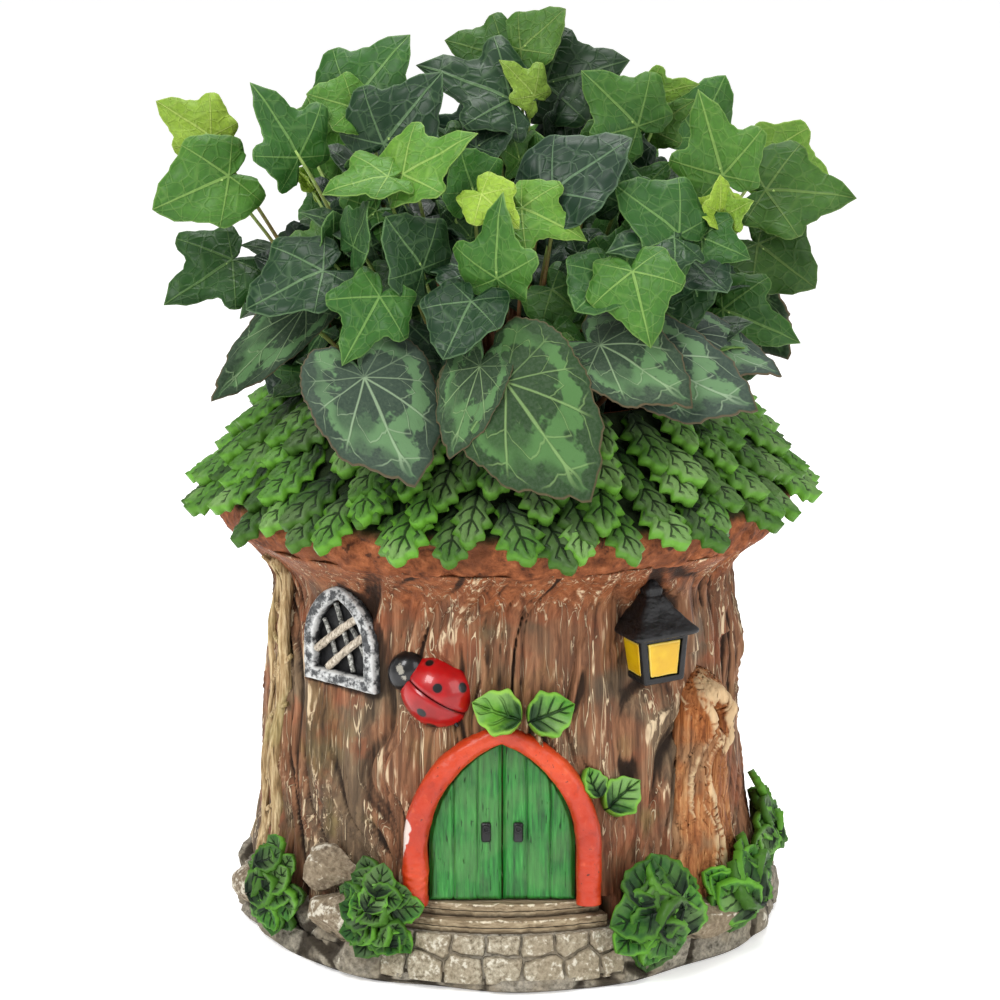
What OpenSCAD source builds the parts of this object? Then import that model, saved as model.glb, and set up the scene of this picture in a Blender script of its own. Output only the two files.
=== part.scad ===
// Tree-stump planter with a leaf roof, a little door, a window, a lantern and a ladybird,
// planted with ivy and cyclamen. Millimetres, +Z up, the door faces -Y, the foot rests on Z = 0.

/* [Plinth] */
// How far the rock plinth stands out beyond the trunk's foot
plinth_out = 10; // [7:0.5:16]
// Thickness of the flat slab under everything
slab_t = 8; // [6:0.5:12]
// Diameter of the drain hole in the slab
drain_d = 12; // [6:0.5:20]
// Height of the rock bank above the slab
bank_h = 13; // [9:0.5:17]

/* [Trunk] */
// Radius of the trunk at the slab
trunk_foot_r = 100; // [96:0.5:106]
// Radius of the trunk at its neck, under the eave
trunk_neck_r = 90; // [84:0.5:95]
// Height of the trunk above the slab
trunk_h = 150; // [138:1:166]
// Height of the flare from the neck to the eave
flare_h = 19; // [14:1:28]
// How far the eave stands out beyond the neck
eave_out = 16; // [11:0.5:18]
// Depth of the bark's ridges
bark_depth = 5; // [1:0.2:6]
// Wall of the trunk at its neck, round the hollow for the compost
wall_t = 15; // [14:0.5:22]

/* [Roof] */
// Tiers of roof leaves
tiers = 4; // [3:1:4]
// Leaves in the lowest tier
leaves_low = 26; // [16:1:26]
// Fewer leaves in each tier above
leaves_step = 2; // [2:1:3]
// Length of a roof leaf
leaf_l = 28; // [22:0.5:32]
// Width of a roof leaf
leaf_w = 25; // [18:0.5:25.5]
// Thickness of a roof leaf
leaf_t = 2.4; // [1.6:0.1:3]
// Spacing of the tiers along the slope
tier_pitch = 12; // [10:0.5:14]
// Slope of the roof from level, degrees
roof_slope = 52; // [46:1:56]
// How far behind the eave's edge the lowest tier's leaves begin
tier_back = 4; // [1:0.5:6]
// Height of the brim's edge above the eave
brim_h = 16; // [12:0.5:20]

/* [Door] */
// Width of the doorway
door_w = 55; // [46:1:58]
// Height of the doorway to its point
door_h = 61; // [56:1:66]
// Thickness of a door leaf
door_t = 3.6; // [2.4:0.2:5]
// Planks in each door leaf
door_planks = 3; // [2:1:4]
// Width of the arch band
arch_w = 9.5; // [6:0.5:11]
// Thickness of the arch band
arch_t = 11.5; // [9:0.5:14]
// How deep the doorway is let into the trunk
door_sink = 9; // [8:0.5:10.5]

/* [Steps and paving] */
// Rise of each doorstep
step_rise = 5; // [4:0.5:7]
// Tread of each doorstep
step_tread = 4; // [3:0.5:5]
// Height of the paved ramp's top above the slab
ramp_h = 14; // [10:0.5:16]
// Rows of paving stones on the ramp
paving_rows = 2; // [1:1:3]
// Stones in each row
paving_count = 8; // [5:1:10]
// Joint between stones
paving_joint = 1.2; // [0.6:0.1:2]

/* [Window] */
// Round the trunk from the middle of the door to the middle of the window
window_side = 64; // [60:1:72]
// From the trunk's neck down to the window's foot
window_drop = 30; // [28:1:44]
// Width over the window frame
window_w = 36; // [30:1:40]
// Height over the window frame
window_h = 38; // [36:1:46]
// Width of the frame's band
window_band = 5; // [3.5:0.5:6.5]
// Thickness of the frame
window_t = 5.6; // [5:0.2:7]
// Bars in each direction
window_bars = 3; // [2:1:4]
// Width of a bar
bar_w = 1.7; // [1:0.1:2.4]

/* [Ladybird] */
// Round the trunk from the middle of the door to the ladybird
bug_side = 24.4; // [16:0.2:26]
// From the trunk's neck down to the ladybird's middle
bug_drop = 27; // [22:0.5:28]
// Length of the wing cases
bug_l = 28; // [22:0.5:30]
// Width across the wing cases
bug_w = 25; // [20:0.5:26]
// Width of the split between the wing cases
bug_split = 0.5; // [0.3:0.1:1]

/* [Lantern] */
// Round the trunk from the middle of the door to the lantern
lamp_side = 56.5; // [48:0.5:70]
// From the trunk's neck down to the lantern's foot
lamp_drop = 26; // [24:0.5:34]
// Side of the lantern body at its top
lamp_w = 20; // [17:0.5:22]
// Side of the lantern body at its foot
lamp_foot_w = 16.5; // [14:0.5:17]
// Height of the lantern body
lamp_h = 19; // [16:0.5:22]
// Side of the lantern roof's eave
lamp_roof_w = 23.5; // [22.5:0.5:26]
// Height of the lantern roof
lamp_roof_h = 14; // [10:0.5:16]

/* [Branch stub and greenery] */
// Round the trunk from the middle of the door to the broken branch
stub_side = 83; // [76:1:90]
// From the trunk's neck down to the branch's broken end
stub_drop = 36; // [32:1:44]
// Width of the branch's root where it leaves the trunk
stub_w = 26; // [20:1:30]
// Thickness of a climbing strand
strand_d = 5; // [3.6:0.2:6]
// Height of a clump of moulded foliage
foliage_h = 32; // [24:1:36]

/* [Planting] */
// Reach of the planting from the middle, which sets the place and length of each leaf
plant_reach = 100; // [88:1:106]
// Clear gap between the compost ball and the hollow
ball_gap = 1.5; // [0.5:0.1:4]
// Depth of the compost's surface below the rim
compost_drop = 10; // [6:0.5:16]
// Thickness of an ivy or cyclamen leaf blade
blade_t = 1; // [0.8:0.1:1.6]
// Radius of a stem at its leaf
stem_r = 0.9; // [0.7:0.1:1.4]

/* [Hidden] */
$fn = 48;

// Colours
bark_brown = "#7a4f35";
rock_grey = "#8d8d86";
pale_stone = "#b9b5a6";
leaf_green = "#4c8f2f";
door_green = "#2f8a35";
arch_red = "#d9452a";
pewter = "#a9abab";
black_paint = "#1d1d1d";
ivy_green = "#3f7d3a";

// Levels and radii that follow from the sizes above
seat_gap = 0.2;
plinth_r = trunk_foot_r + plinth_out;
cavity_r = trunk_neck_r - wall_t;
eave_r = trunk_neck_r + eave_out;
tier_r = eave_r - tier_back;
neck_z = slab_t + trunk_h - flare_h;
eave_z = slab_t + trunk_h;
ramp_z = slab_t + ramp_h;
door_z = ramp_z + 2 * step_rise;
trunk_lean = atan((trunk_foot_r - trunk_neck_r) / (neck_z - slab_t));

function clamp01(t) = min(1, max(0, t));
function polar(az, r, z) = [r * sin(az), -r * cos(az), z];
function arc_deg(length, r) = length / r * 180 / PI;

// Mean radius of the trunk, a gentle taper with a flare under the eave
function trunk_r(z) =
    trunk_neck_r
    + (trunk_foot_r - trunk_neck_r) * clamp01((neck_z - z) / (neck_z - slab_t))
    + (eave_r - trunk_neck_r) * pow(clamp01((z - neck_z) / flare_h), 2);

// Angle between two azimuths, 0 to 180
function apart(a, b) = abs((a - b + 900) % 360 - 180);

// Bark relief: round ridges and sharp grooves that wander as they climb
function ridges(az, z) =
    0.6 * abs(sin(6.5 * az + 38 * sin(1.5 * z + 2 * az)))
    + 0.4 * abs(sin(10.5 * az + 50 * sin(2.1 * z + 3 * az) + 60))
    - 0.75;

// The relief dies out where the broken branch's root lies
function bark(az, z) =
    bark_depth * (z > stub_z + 16 ? ridges(az, z)
        : -0.3 + (ridges(az, z) + 0.3) * clamp01((apart(az, stub_az) - 20) / 6));

// Roots that swell at the foot and die out up the trunk, each at its azimuth
root_turns = [82, 107, 133, 160, 189, 217, 244, 268, 322];
root_half = 10;
root_out = 7;
root_h = 62;
function root_swell(az, z) =
    root_out * pow(clamp01(1 - (z - slab_t) / root_h), 1.5)
    * max([for (a = root_turns) pow(clamp01(1 - apart(az + 0.1 * z, a) / root_half), 0.8)]);

// A frame on the trunk: X to the right, Y up the trunk, Z outward, at azimuth az and height z
module on_trunk(az, z, out = 0, lean = trunk_lean) {
    translate(polar(az, trunk_r(z) + out, z))
        rotate([0, 0, az])
            rotate([90 - lean, 0, 0])
                children();
}

// Pointed arch outline that stands on the X axis, with straight jambs below its curves
module pointed(w, h, jamb = 0) {
    rise = h - jamb;
    off = (rise * rise - w * w / 4) / w;
    big = w / 2 + off;
    intersection() {
        translate([-off, jamb])
            circle(r = big, $fn = 72);
        translate([off, jamb])
            circle(r = big, $fn = 72);
        translate([-w, jamb])
            square([2 * w, h]);
    }
    if (jamb > 0)
        translate([-w / 2, 0])
            square([w, jamb]);
}

// Base slab

rock_z = slab_t + bank_h;

// The plinth's edge: bulges to the right, flatter in front, with small lumps
function edge_r(az) =
    plinth_r + 2.5 * sin(az) - 4.5 * pow(max(0, cos(az)), 2) + 1.3 * sin(7 * az) + 0.8 * cos(13 * az);

ramp_az = 25;
ramp_root = 2;
lower_step_az = ramp_az - 2;
upper_step_az = lower_step_az - 1;
door_plane_r = trunk_r(door_z) - door_sink;
step_back_r = door_plane_r - 1.5;
step_upper_r = door_plane_r + door_t + step_tread;
step_lower_r = step_upper_r + step_tread;
ramp_foot_r = edge_r(0) - 1.4;

module sector(az) {
    rotate([0, 0, -90 - az])
        rotate_extrude(angle = 2 * az, $fn = 120)
            children();
}

module ramp_body(grow = 0) {
    sector(ramp_az + grow / 2)
        polygon([[step_back_r - grow, slab_t - ramp_root], [step_back_r - grow, ramp_z + grow],
            [step_lower_r + grow, ramp_z + grow], [ramp_foot_r + grow, slab_t + grow],
            [ramp_foot_r + grow, slab_t - ramp_root]]);
}

module base_slab() {
    color(rock_grey)
        difference() {
            union() {
                linear_extrude(slab_t)
                    polygon([for (i = [0:47]) [edge_r(7.5 * i) * sin(7.5 * i), -edge_r(7.5 * i) * cos(7.5 * i)]]);
                ramp_body();
            }
            translate([0, 0, -1])
                cylinder(d = drain_d, h = slab_t + 2);
        }
}

// Rock bank round the trunk's foot, a ring of lumps parted by grooves that fits the trunk's skin
bank_cols = 90;
function lump(i) = i % 3 == 0 ? -1 : rands(-0.5, 1, 1, 11 + i)[0];
function bank_ring(i, grow) = let (az = 360 * i / bank_cols, out = edge_r(az) - 1.2 + grow, k = lump(i),
    in = skin_r(az, slab_t) + seat_gap - 4 * sign(grow)) concat([
    polar(az, in, slab_t - grow),
    polar(az, out, slab_t - grow),
    polar(az, out - 0.6 + k * 0.5, slab_t + 0.4 * bank_h + k),
    polar(az, out - 4.5 + k, slab_t + 0.8 * bank_h + 1.4 * k + grow),
    polar(az, skin_r(az, rock_z) + seat_gap, rock_z + grow)],
    grow > 0 ? [polar(az, in, rock_z + grow)] : []);

// A closed ring from the rows of points that ring(i) gives
function ring_faces(cols, n) = [for (i = [0:cols - 1], j = [0:n - 1])
    let (a = i * n + j, b = i * n + (j + 1) % n, c = ((i + 1) % cols) * n + (j + 1) % n, d = ((i + 1) % cols) * n + j)
        each [[a, b, c], [a, c, d]]];

module bank_blank(grow = 0) {
    polyhedron(points = [for (i = [0:bank_cols - 1]) each bank_ring(i, grow)],
        faces = ring_faces(bank_cols, grow > 0 ? 6 : 5), convexity = 6);
}

module rock_bank() {
    color(rock_grey)
        difference() {
            bank_blank();
            sector(ramp_az + seat_gap / 2)
                translate([step_back_r - seat_gap, slab_t - 1])
                    square([plinth_r, 2 * bank_h]);
        }
}

// A boulder: two turned blunt stones in one skin
module boulder(size, seed) {
    turn = rands(-30, 30, 4, seed);
    hull() {
        rotate([turn[0], turn[1], turn[2]])
            scale(size / 2)
                sphere(1, $fn = 6);
        rotate([turn[1], turn[0], turn[3]])
            scale(size / 2.15)
                sphere(1, $fn = 5);
    }
}

// Each rock: azimuth, radius, height, size and the seed of its shape
rock_unit = foliage_h / 32;
left_low = [-42, trunk_foot_r + 4, rock_z + 3, [21, 18, 17] * rock_unit, 3];
left_top = [-45, trunk_foot_r + 1, rock_z + 18 * rock_unit, [22, 17, 15] * rock_unit, 5];
far_left = [-60, trunk_foot_r + 5, rock_z, [26, 16, 12] * rock_unit, 8];
right_big = [47, trunk_foot_r + 7, rock_z - 2, [38, 17, 14] * rock_unit, 12];

module rock_shape(q, grow = 0) {
    translate(polar(q[0], q[1], q[2]))
        rotate([0, 0, q[0]])
            boulder(q[3] + 2 * grow * [1, 1, 1], q[4]);
}

// A rock laid on the bank, cut to what it lies against
module rock(q) {
    color(pale_stone)
        difference() {
            rock_shape(q);
            trunk_blank(seat_gap);
            bank_blank(seat_gap);
            ramp_body(seat_gap);
            children();
        }
}

module rock_left_low() {
    rock(left_low);
}

module rock_left_top() {
    rock(left_top)
        rock_shape(left_low, seat_gap);
}

module rock_far_left() {
    rock(far_left);
}

module rock_right() {
    rock(right_big)
        stub_shape(seat_gap);
}

// Paving stones laid on the ramp in rows, like courses of setts
ramp_run = [ramp_foot_r - step_lower_r, slab_t - ramp_z];
ramp_len = norm(ramp_run);
ramp_dir = ramp_run / ramp_len;
ramp_up = [-ramp_dir[1], ramp_dir[0]];
stone_t = 1.4;
stone_soft = 0.5;
stone_vary = 0.22;
paving_az = ramp_az - 0.5;

module stone_profile(row) {
    len = (ramp_len - paving_joint) / paving_rows - paving_joint;
    from = paving_joint + row * (len + paving_joint);
    a = [step_lower_r, ramp_z] + from * ramp_dir;
    b = a + len * ramp_dir;
    side = (stone_t - stone_soft) * ramp_up;
    polygon([a, b, b + side, b + stone_t * ramp_up - stone_soft * ramp_dir,
        a + stone_t * ramp_up + stone_soft * ramp_dir, a + side]);
}

module paving_stones() {
    color(pale_stone)
        for (row = [0:paving_rows - 1]) {
            cuts = [for (i = [0:paving_count])
                i + (i > 0 && i < paving_count ? rands(-stone_vary, stone_vary, 1, 31 * row + i)[0] : 0)];
            unit = 2 * paving_az / paving_count;
            joint_az = arc_deg(paving_joint, ramp_foot_r);
            for (i = [0:paving_count - 1])
                rotate([0, 0, -90 - paving_az + cuts[i] * unit + joint_az / 2])
                    rotate_extrude(angle = (cuts[i + 1] - cuts[i]) * unit - joint_az, $fn = 120)
                        stone_profile(row);
        }
}

// Doorsteps, bull-nosed treads that follow the plinth's curve
module step_profile(front_r, z, rise, grow = 0) {
    nose = rise / 4;
    polygon([[step_back_r - grow, z - grow], [front_r - 0.5 + grow, z - grow], [front_r + grow, z + rise - nose],
        [front_r - nose / 2 + grow, z + rise - nose / 4 + grow], [front_r - nose + grow, z + rise + grow],
        [step_back_r - grow, z + rise + grow]]);
}

module steps_blank(grow = 0) {
    sector(lower_step_az + grow / 2)
        step_profile(step_lower_r, ramp_z, step_rise, grow);
    sector(upper_step_az + grow / 2)
        step_profile(step_upper_r, ramp_z + step_rise, step_rise, grow);
}

// All the room in front of the steps' backs, cut out of the trunk
module steps_room() {
    sector(ramp_az + seat_gap / 2)
        translate([step_back_r - seat_gap, slab_t - 1])
            square([plinth_r, door_z + seat_gap - slab_t + 1]);
}

module doorstep_lower() {
    color(pale_stone)
        sector(lower_step_az)
            step_profile(step_lower_r, ramp_z, step_rise);
}

module doorstep_upper() {
    color(pale_stone)
        sector(upper_step_az)
            step_profile(step_upper_r, ramp_z + step_rise, step_rise);
}

// Trunk
trunk_cols = 90;
trunk_rows = 12;
function row_z(j) = j == 0 ? slab_t
    : rock_z + (slab_t + trunk_h - rock_z) * (1 - pow(1 - (j - 1) / (trunk_rows - 1), 1.15));
// The trunk's skin: bark and roots, kept inside the rock bank at the foot
bank_least = 8;
function skin_r(az, z) = min(edge_r(az) - bank_least + max(0, z - rock_z),
    trunk_r(z) + max(bark(az, z), bark(az, z) / 2 + root_swell(az, z)));

module trunk_blank(grow = 0) {
    polyhedron(
        points = [for (j = [0:trunk_rows], i = [0:trunk_cols - 1])
            let (az = 360 * i / trunk_cols, z = row_z(j)) polar(az, skin_r(az, z) + grow, z)],
        faces = concat(
            [for (j = [0:trunk_rows - 1], i = [0:trunk_cols - 1])
                let (a = j * trunk_cols + i, b = j * trunk_cols + (i + 1) % trunk_cols)
                    each [[a, a + trunk_cols, b], [b, a + trunk_cols, b + trunk_cols]]],
            [[for (i = [0:trunk_cols - 1]) i]],
            [[for (i = [trunk_cols - 1:-1:0]) trunk_rows * trunk_cols + i]]),
        convexity = 6);
}

module doorway() {
    translate([0, -door_plane_r, door_z])
        rotate([90 - trunk_lean, 0, 0])
            children();
}

module trunk() {
    color(bark_brown)
        difference() {
            trunk_blank();
            translate([0, 0, slab_t - 1])
                cylinder(r = cavity_r, h = trunk_h + 2, $fn = 40);
            steps_room();
            doorway()
                linear_extrude(3 * door_sink)
                    offset(delta = seat_gap) {
                        arch_outline(arch_w);
                        translate([-door_w / 2 - arch_w, -step_rise / 2])
                            square([door_w + 2 * arch_w, step_rise]);
                    }
            window_place()
                linear_extrude(20)
                    offset(delta = seat_gap)
                        pointed(window_w, window_h, window_jamb);
            ladybird_place()
                linear_extrude(20)
                    offset(delta = seat_gap)
                        bug_footprint();
            lantern_envelope(seat_gap);
        }
}

// Door leaves, handles and arch
door_jamb = door_h / 3;
module arch_outline(band) {
    pointed(door_w + 2 * band, door_h + band * 0.8, door_jamb);
}

door_seam = 0.4;
groove_w = 0.9;

module door_leaf(side) {
    color(door_green)
        doorway()
            difference() {
                linear_extrude(door_t)
                    intersection() {
                        pointed(door_w - 2 * seat_gap, door_h - seat_gap, door_jamb);
                        translate([side > 0 ? door_seam / 2 : -door_w, 0])
                            square([door_w - door_seam / 2, door_h]);
                    }
                for (i = [1:door_planks - 1])
                    translate([side * i * door_w / 2 / door_planks - groove_w / 2, -1, door_t - groove_w])
                        cube([groove_w, door_h + 2, groove_w + 1]);
            }
}

module door_left() {
    door_leaf(-1);
}

module door_right() {
    door_leaf(1);
}

handle_h = 7;
handle_w = 2.6;
handle_t = 0.8;
handle_x = 5.6;
knob_d = 1.8;
knob_h = 1.2;
module door_handle(side) {
    color(black_paint)
        doorway()
            translate([side * handle_x, 0.45 * door_h, door_t]) {
                translate([-handle_w / 2, -handle_h / 2, 0])
                    cube([handle_w, handle_h, handle_t]);
                translate([0, -knob_h, handle_t])
                    cylinder(d = knob_d, h = knob_h);
            }
}

module door_handle_left() {
    door_handle(-1);
}

module door_handle_right() {
    door_handle(1);
}

// The arch band's round front, in layers: from and to as shares of its thickness, then its inset as a share
// of the band's width
arch_layers = [[0, 0.7, 0], [0.7, 0.85, 0.08], [0.85, 1, 0.27]];
module door_arch() {
    color(arch_red)
        doorway()
            for (q = arch_layers)
                translate([0, 0, q[0] * arch_t])
                    linear_extrude((q[1] - q[0]) * arch_t)
                        difference() {
                            arch_outline(arch_w * (1 - q[2]));
                            translate([0, -1])
                                pointed(door_w + 2 * q[2] * arch_w, door_h + 1 + 0.9 * q[2] * arch_w, door_jamb + 1);
                        }
}

// Leaf blades: half outline from stalk to tip as [along, across] shares, used on the roof and round the door
leaf_half = [[0.02, 0.09], [0.28, 0.43], [0.35, 0.36], [0.54, 0.5], [0.62, 0.35], [0.8, 0.29]];
leaf_rib = [0.14, 0.5, 0.8];
leaf_n = 2 * len(leaf_half) + 1;

// Outline of one leaf, left side from stalk to tip and back down the right side, [across, along]
function leaf_outline(l, w) = concat(
    [for (p = leaf_half) [-p[1] * w, p[0] * l]],
    [[0, l]],
    [for (i = [len(leaf_half) - 1:-1:0]) [leaf_half[i][1] * w, leaf_half[i][0] * l]]);

// Faces of a leaf whose points are the outline's top, the rib and the outline's underside
function leaf_faces(base) = let (n = leaf_n, m = n, u = n + 3, h = len(leaf_half)) [
    for (f = concat(
        [[0, 1, m], [1, 2, m], [2, m + 1, m], [2, 3, m + 1], [3, 4, m + 1], [4, m + 2, m + 1], [4, 5, m + 2],
            [5, 6, m + 2], [6, 7, m + 2], [7, 8, m + 2], [8, m + 1, m + 2], [8, 9, m + 1], [9, 10, m + 1],
            [10, m, m + 1], [10, 11, m], [11, 12, m], [12, 0, m]],
        [for (i = [0:h - 2]) each [[u + i, u + n - 1 - i, u + i + 1], [u + i + 1, u + n - 1 - i, u + n - 2 - i]]],
        [[u + h - 1, u + h + 1, u + h]],
        [for (i = [0:n - 1]) each [[i, u + i, (i + 1) % n], [(i + 1) % n, u + i, u + (i + 1) % n]]]))
        [for (k = f) base + k]];

// A flat leaf lying on Z = 0, its stalk at the origin, its tip along Y and its sides turned up
leaf_fold = 0.35;
module flat_leaf(l, w, t) {
    o = leaf_outline(l, w);
    polyhedron(points = concat([for (p = o) [p[0], p[1], t + leaf_fold * abs(p[0])]],
        [for (v = leaf_rib) [0, v * l, t * 0.9]],
        [for (p = o) [p[0], p[1], -t]]),
        faces = leaf_faces(0), convexity = 4);
}

// A leaf that lies against the bark at azimuth az, with its tip turned by turn
bark_leaf_t = 2.2;
bark_leaf_out = 1.6;
module bark_leaf(az, z, turn, l, w) {
    color(leaf_green)
        difference() {
            on_trunk(az, z, bark_leaf_out)
                rotate([-12, 0, turn])
                    flat_leaf(l, w, bark_leaf_t);
            trunk_blank(seat_gap);
            doorway()
                linear_extrude(arch_t + seat_gap)
                    offset(delta = seat_gap)
                        arch_outline(arch_w);
        }
}

arch_top_z = door_z + door_h + 0.8 * arch_w;

module arch_leaf_left() {
    bark_leaf(4, arch_top_z + 3, 66, 19, 15);
}

module arch_leaf_right() {
    bark_leaf(6, arch_top_z + 1, -66, 18, 14);
}

module side_leaf_low() {
    bark_leaf(23, door_z + 36, -62, 17, 13);
}

module side_leaf_high() {
    bark_leaf(21.5, door_z + 41, 20, 12, 10);
}

// Window
window_az = -arc_deg(window_side, trunk_neck_r);
window_z = neck_z - window_drop;
window_tilt = 0;
window_jamb = 0.38 * window_h;
window_sink = 3;
pane_t = 0.8;
bar_t = 0.9;

module window_place() {
    on_trunk(window_az, window_z, -window_sink)
        rotate([0, 0, -window_tilt])
            children();
}

module window_hole(shrink = 0) {
    translate([0, window_band + shrink])
        pointed(window_w - 2 * window_band - 2 * shrink, window_h - 2.1 * window_band - 2 * shrink,
            window_jamb - window_band);
}

module window_frame() {
    color(pewter)
        window_place() {
            linear_extrude(0.75 * window_t)
                difference() {
                    pointed(window_w, window_h, window_jamb);
                    window_hole();
                }
            translate([0, 0, 0.75 * window_t])
                linear_extrude(0.25 * window_t)
                    difference() {
                        translate([0, 1])
                            pointed(window_w - 2, window_h - 2.2, window_jamb - 1);
                        window_hole(-1);
                    }
        }
}

module window_pane() {
    color(black_paint)
        window_place()
            linear_extrude(pane_t)
                window_hole(seat_gap);
}

module window_bar_set(turn, z) {
    pitch = (window_w - 2 * window_band) / window_bars;
    color(pewter)
        window_place()
            translate([0, 0, z])
                linear_extrude(bar_t)
                    intersection() {
                        window_hole(seat_gap);
                        translate([0, window_h / 2])
                            rotate(turn)
                                for (i = [0:window_bars - 1])
                                    translate([(i - (window_bars - 1) / 2) * pitch - bar_w / 2, -window_h])
                                        square([bar_w, 2 * window_h]);
                    }
}

module window_bars_back() {
    window_bar_set(38, pane_t);
}

module window_bars_front() {
    window_bar_set(-48, pane_t + bar_t);
}

// Ladybird: the wing cases are a dome turned about the body's long axis, its head end along X
bug_az = -arc_deg(bug_side, trunk_neck_r);
bug_z = neck_z - bug_drop;
bug_turn = 149;
bug_sink = 2.4;
bug_axis = 2.2;
bug_head_r = 6.4;
body_t = 2.6;

module ladybird_place() {
    on_trunk(bug_az, bug_z, -bug_sink)
        rotate([0, 0, bug_turn])
            children();
}

function dome_points(grow) = concat([for (i = [0:24])
    let (a = 7.5 * i) [(bug_w / 2 + grow) * sin(a), (bug_l / 2 + grow) * cos(a)]]);

module dome(grow = 0) {
    translate([0, 0, -bug_axis])
        rotate([0, 90, 0])
            rotate_extrude()
                polygon(dome_points(grow));
}

module bug_footprint() {
    scale([(bug_l / 2 + 1.2) / (bug_w / 2), 1])
        circle(r = bug_w / 2, $fn = 28);
    translate([bug_l / 2 - 0.5, 0])
        circle(r = bug_head_r + 0.6, $fn = 24);
}

module ladybird_wing(side) {
    color("#b8121b")
        ladybird_place()
            intersection() {
                dome();
                translate([-bug_l, side > 0 ? bug_split / 2 : -bug_w - bug_split / 2, body_t])
                    cube([2 * bug_l, bug_w, bug_w]);
            }
}

module ladybird_wing_left() {
    ladybird_wing(-1);
}

module ladybird_wing_right() {
    ladybird_wing(1);
}

module ladybird_body() {
    color(black_paint)
        ladybird_place()
            intersection() {
                dome(0.4);
                translate([-bug_l, -bug_w])
                    cube([2 * bug_l, 2 * bug_w, body_t]);
            }
}

module ladybird_head() {
    head = bug_l / 2;
    color(black_paint)
        ladybird_place()
            intersection() {
                translate([0, 0, -bug_axis + 3])
                    rotate([0, 90, 0])
                        rotate_extrude()
                            difference() {
                                intersection() {
                                    translate([0, head - 0.5])
                                        circle(r = bug_head_r);
                                    square([10, 2 * head]);
                                }
                                polygon(dome_points(0.9));
                            }
                translate([head - 6, -10, 0])
                    cube([20, 20, 20]);
            }
}

// Lantern, let into the trunk up to a third of its depth
lamp_az = arc_deg(lamp_side, trunk_neck_r);
lamp_z = neck_z - lamp_drop;
lamp_turn = 24;
lamp_r = trunk_neck_r + 6.5;
lamp_tilt = 3;
lamp_eave_t = 1.6;
lamp_roof_top_w = 7;
cap_d = 6.4;
cap_t = 2;
knop_h = 2.6;
pane_in = 0.8;
pane_frame = 3;
pane_sill = 2.4;

module lantern_place() {
    translate(polar(lamp_az, lamp_r, lamp_z))
        rotate([0, -lamp_tilt, lamp_turn])
            children();
}

module square_cone(w1, w2, h) {
    rotate([0, 0, 45])
        cylinder(r1 = w1 / sqrt(2), r2 = w2 / sqrt(2), h = h, $fn = 4);
}

module lantern_envelope(grow) {
    lantern_place() {
        translate([0, 0, -grow])
            square_cone(lamp_foot_w + 2 * grow, lamp_w + 2 * grow, lamp_h + 2 * grow);
        translate([0, 0, lamp_h - grow])
            square_cone(lamp_roof_w + 2 * grow, lamp_roof_w + 2 * grow, lamp_eave_t + 2 * grow);
        translate([0, 0, lamp_h + lamp_eave_t])
            square_cone(lamp_roof_w - 2 + 2 * grow, lamp_roof_top_w + 2 * grow, lamp_roof_h - lamp_eave_t + grow);
        translate([0, 0, lamp_h + lamp_roof_h])
            cylinder(d = cap_d + 2 * grow, h = cap_t + knop_h + grow);
    }
}

// A frame on one of the body's sloping sides, Z outward and Y up
module lamp_side(turn) {
    slope = atan((lamp_w - lamp_foot_w) / 2 / lamp_h);
    rotate([0, 0, turn])
        translate([0, -lamp_foot_w / 2, 0])
            rotate([90 + slope, 0, 0])
                children();
}

module lamp_pane(grow, t) {
    w1 = lamp_foot_w - 2 * pane_frame + 2 * grow;
    w2 = lamp_w - 2 * pane_frame + 2 * grow;
    foot = pane_sill - grow;
    head = lamp_h - pane_sill + grow;
    linear_extrude(t)
        polygon([[-w1 / 2, foot], [w1 / 2, foot], [w2 / 2, head], [-w2 / 2, head]]);
}

module lantern_body() {
    color(black_paint)
        lantern_place()
            difference() {
                square_cone(lamp_foot_w, lamp_w, lamp_h);
                for (turn = [-90, 0, 90])
                    lamp_side(turn)
                        translate([0, 0, -2 * pane_in])
                            lamp_pane(0, 4 * pane_in);
            }
}

module lantern_panes() {
    color("#e8bf1c")
        lantern_place()
            for (turn = [-90, 0, 90])
                lamp_side(turn)
                    translate([0, 0, -2 * pane_in])
                        lamp_pane(-0.15, pane_in);
}

module lantern_roof() {
    color(black_paint)
        lantern_place()
            translate([0, 0, lamp_h]) {
                square_cone(lamp_roof_w, lamp_roof_w, lamp_eave_t);
                translate([0, 0, lamp_eave_t])
                    square_cone(lamp_roof_w - 2, lamp_roof_top_w, lamp_roof_h - lamp_eave_t);
            }
}

module lantern_cap() {
    color(black_paint)
        lantern_place()
            translate([0, 0, lamp_h + lamp_roof_h]) {
                cylinder(d = cap_d, h = cap_t);
                translate([0, 0, cap_t])
                    cylinder(d1 = 0.8 * cap_d, d2 = 0.5 * cap_d, h = knop_h);
            }
}

// Broken branch with a hollow, its root running down to the bank
// Rows of the root from its top down: share of the height, half width and stand-out as shares of stub_w
stub_rows = [[1.08, 0.22, 0.1], [0.99, 0.4, 0.34], [0.88, 0.48, 0.38], [0.66, 0.46, 0.28], [0.42, 0.5, 0.24],
    [0.2, 0.62, 0.28], [0, 0.82, 0.36]];
stub_cols = 12;
stub_az = arc_deg(stub_side, trunk_neck_r);
stub_z = neck_z - stub_drop;
stub_root_z = slab_t + bank_h - 4;

function stub_point(q, i, grow) = let (
    a = 180 * i / stub_cols,
    z = stub_root_z + q[0] * (stub_z - stub_root_z),
    x = -cos(a) * (q[1] * stub_w + grow),
    out = sin(a) * (q[2] * stub_w * (1 + 0.16 * cos(5 * a + 160 * q[0])) + grow))
    polar(stub_az + arc_deg(x, trunk_neck_r), trunk_r(z) + out, z + (q[0] > 1 ? grow : 0));

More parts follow.
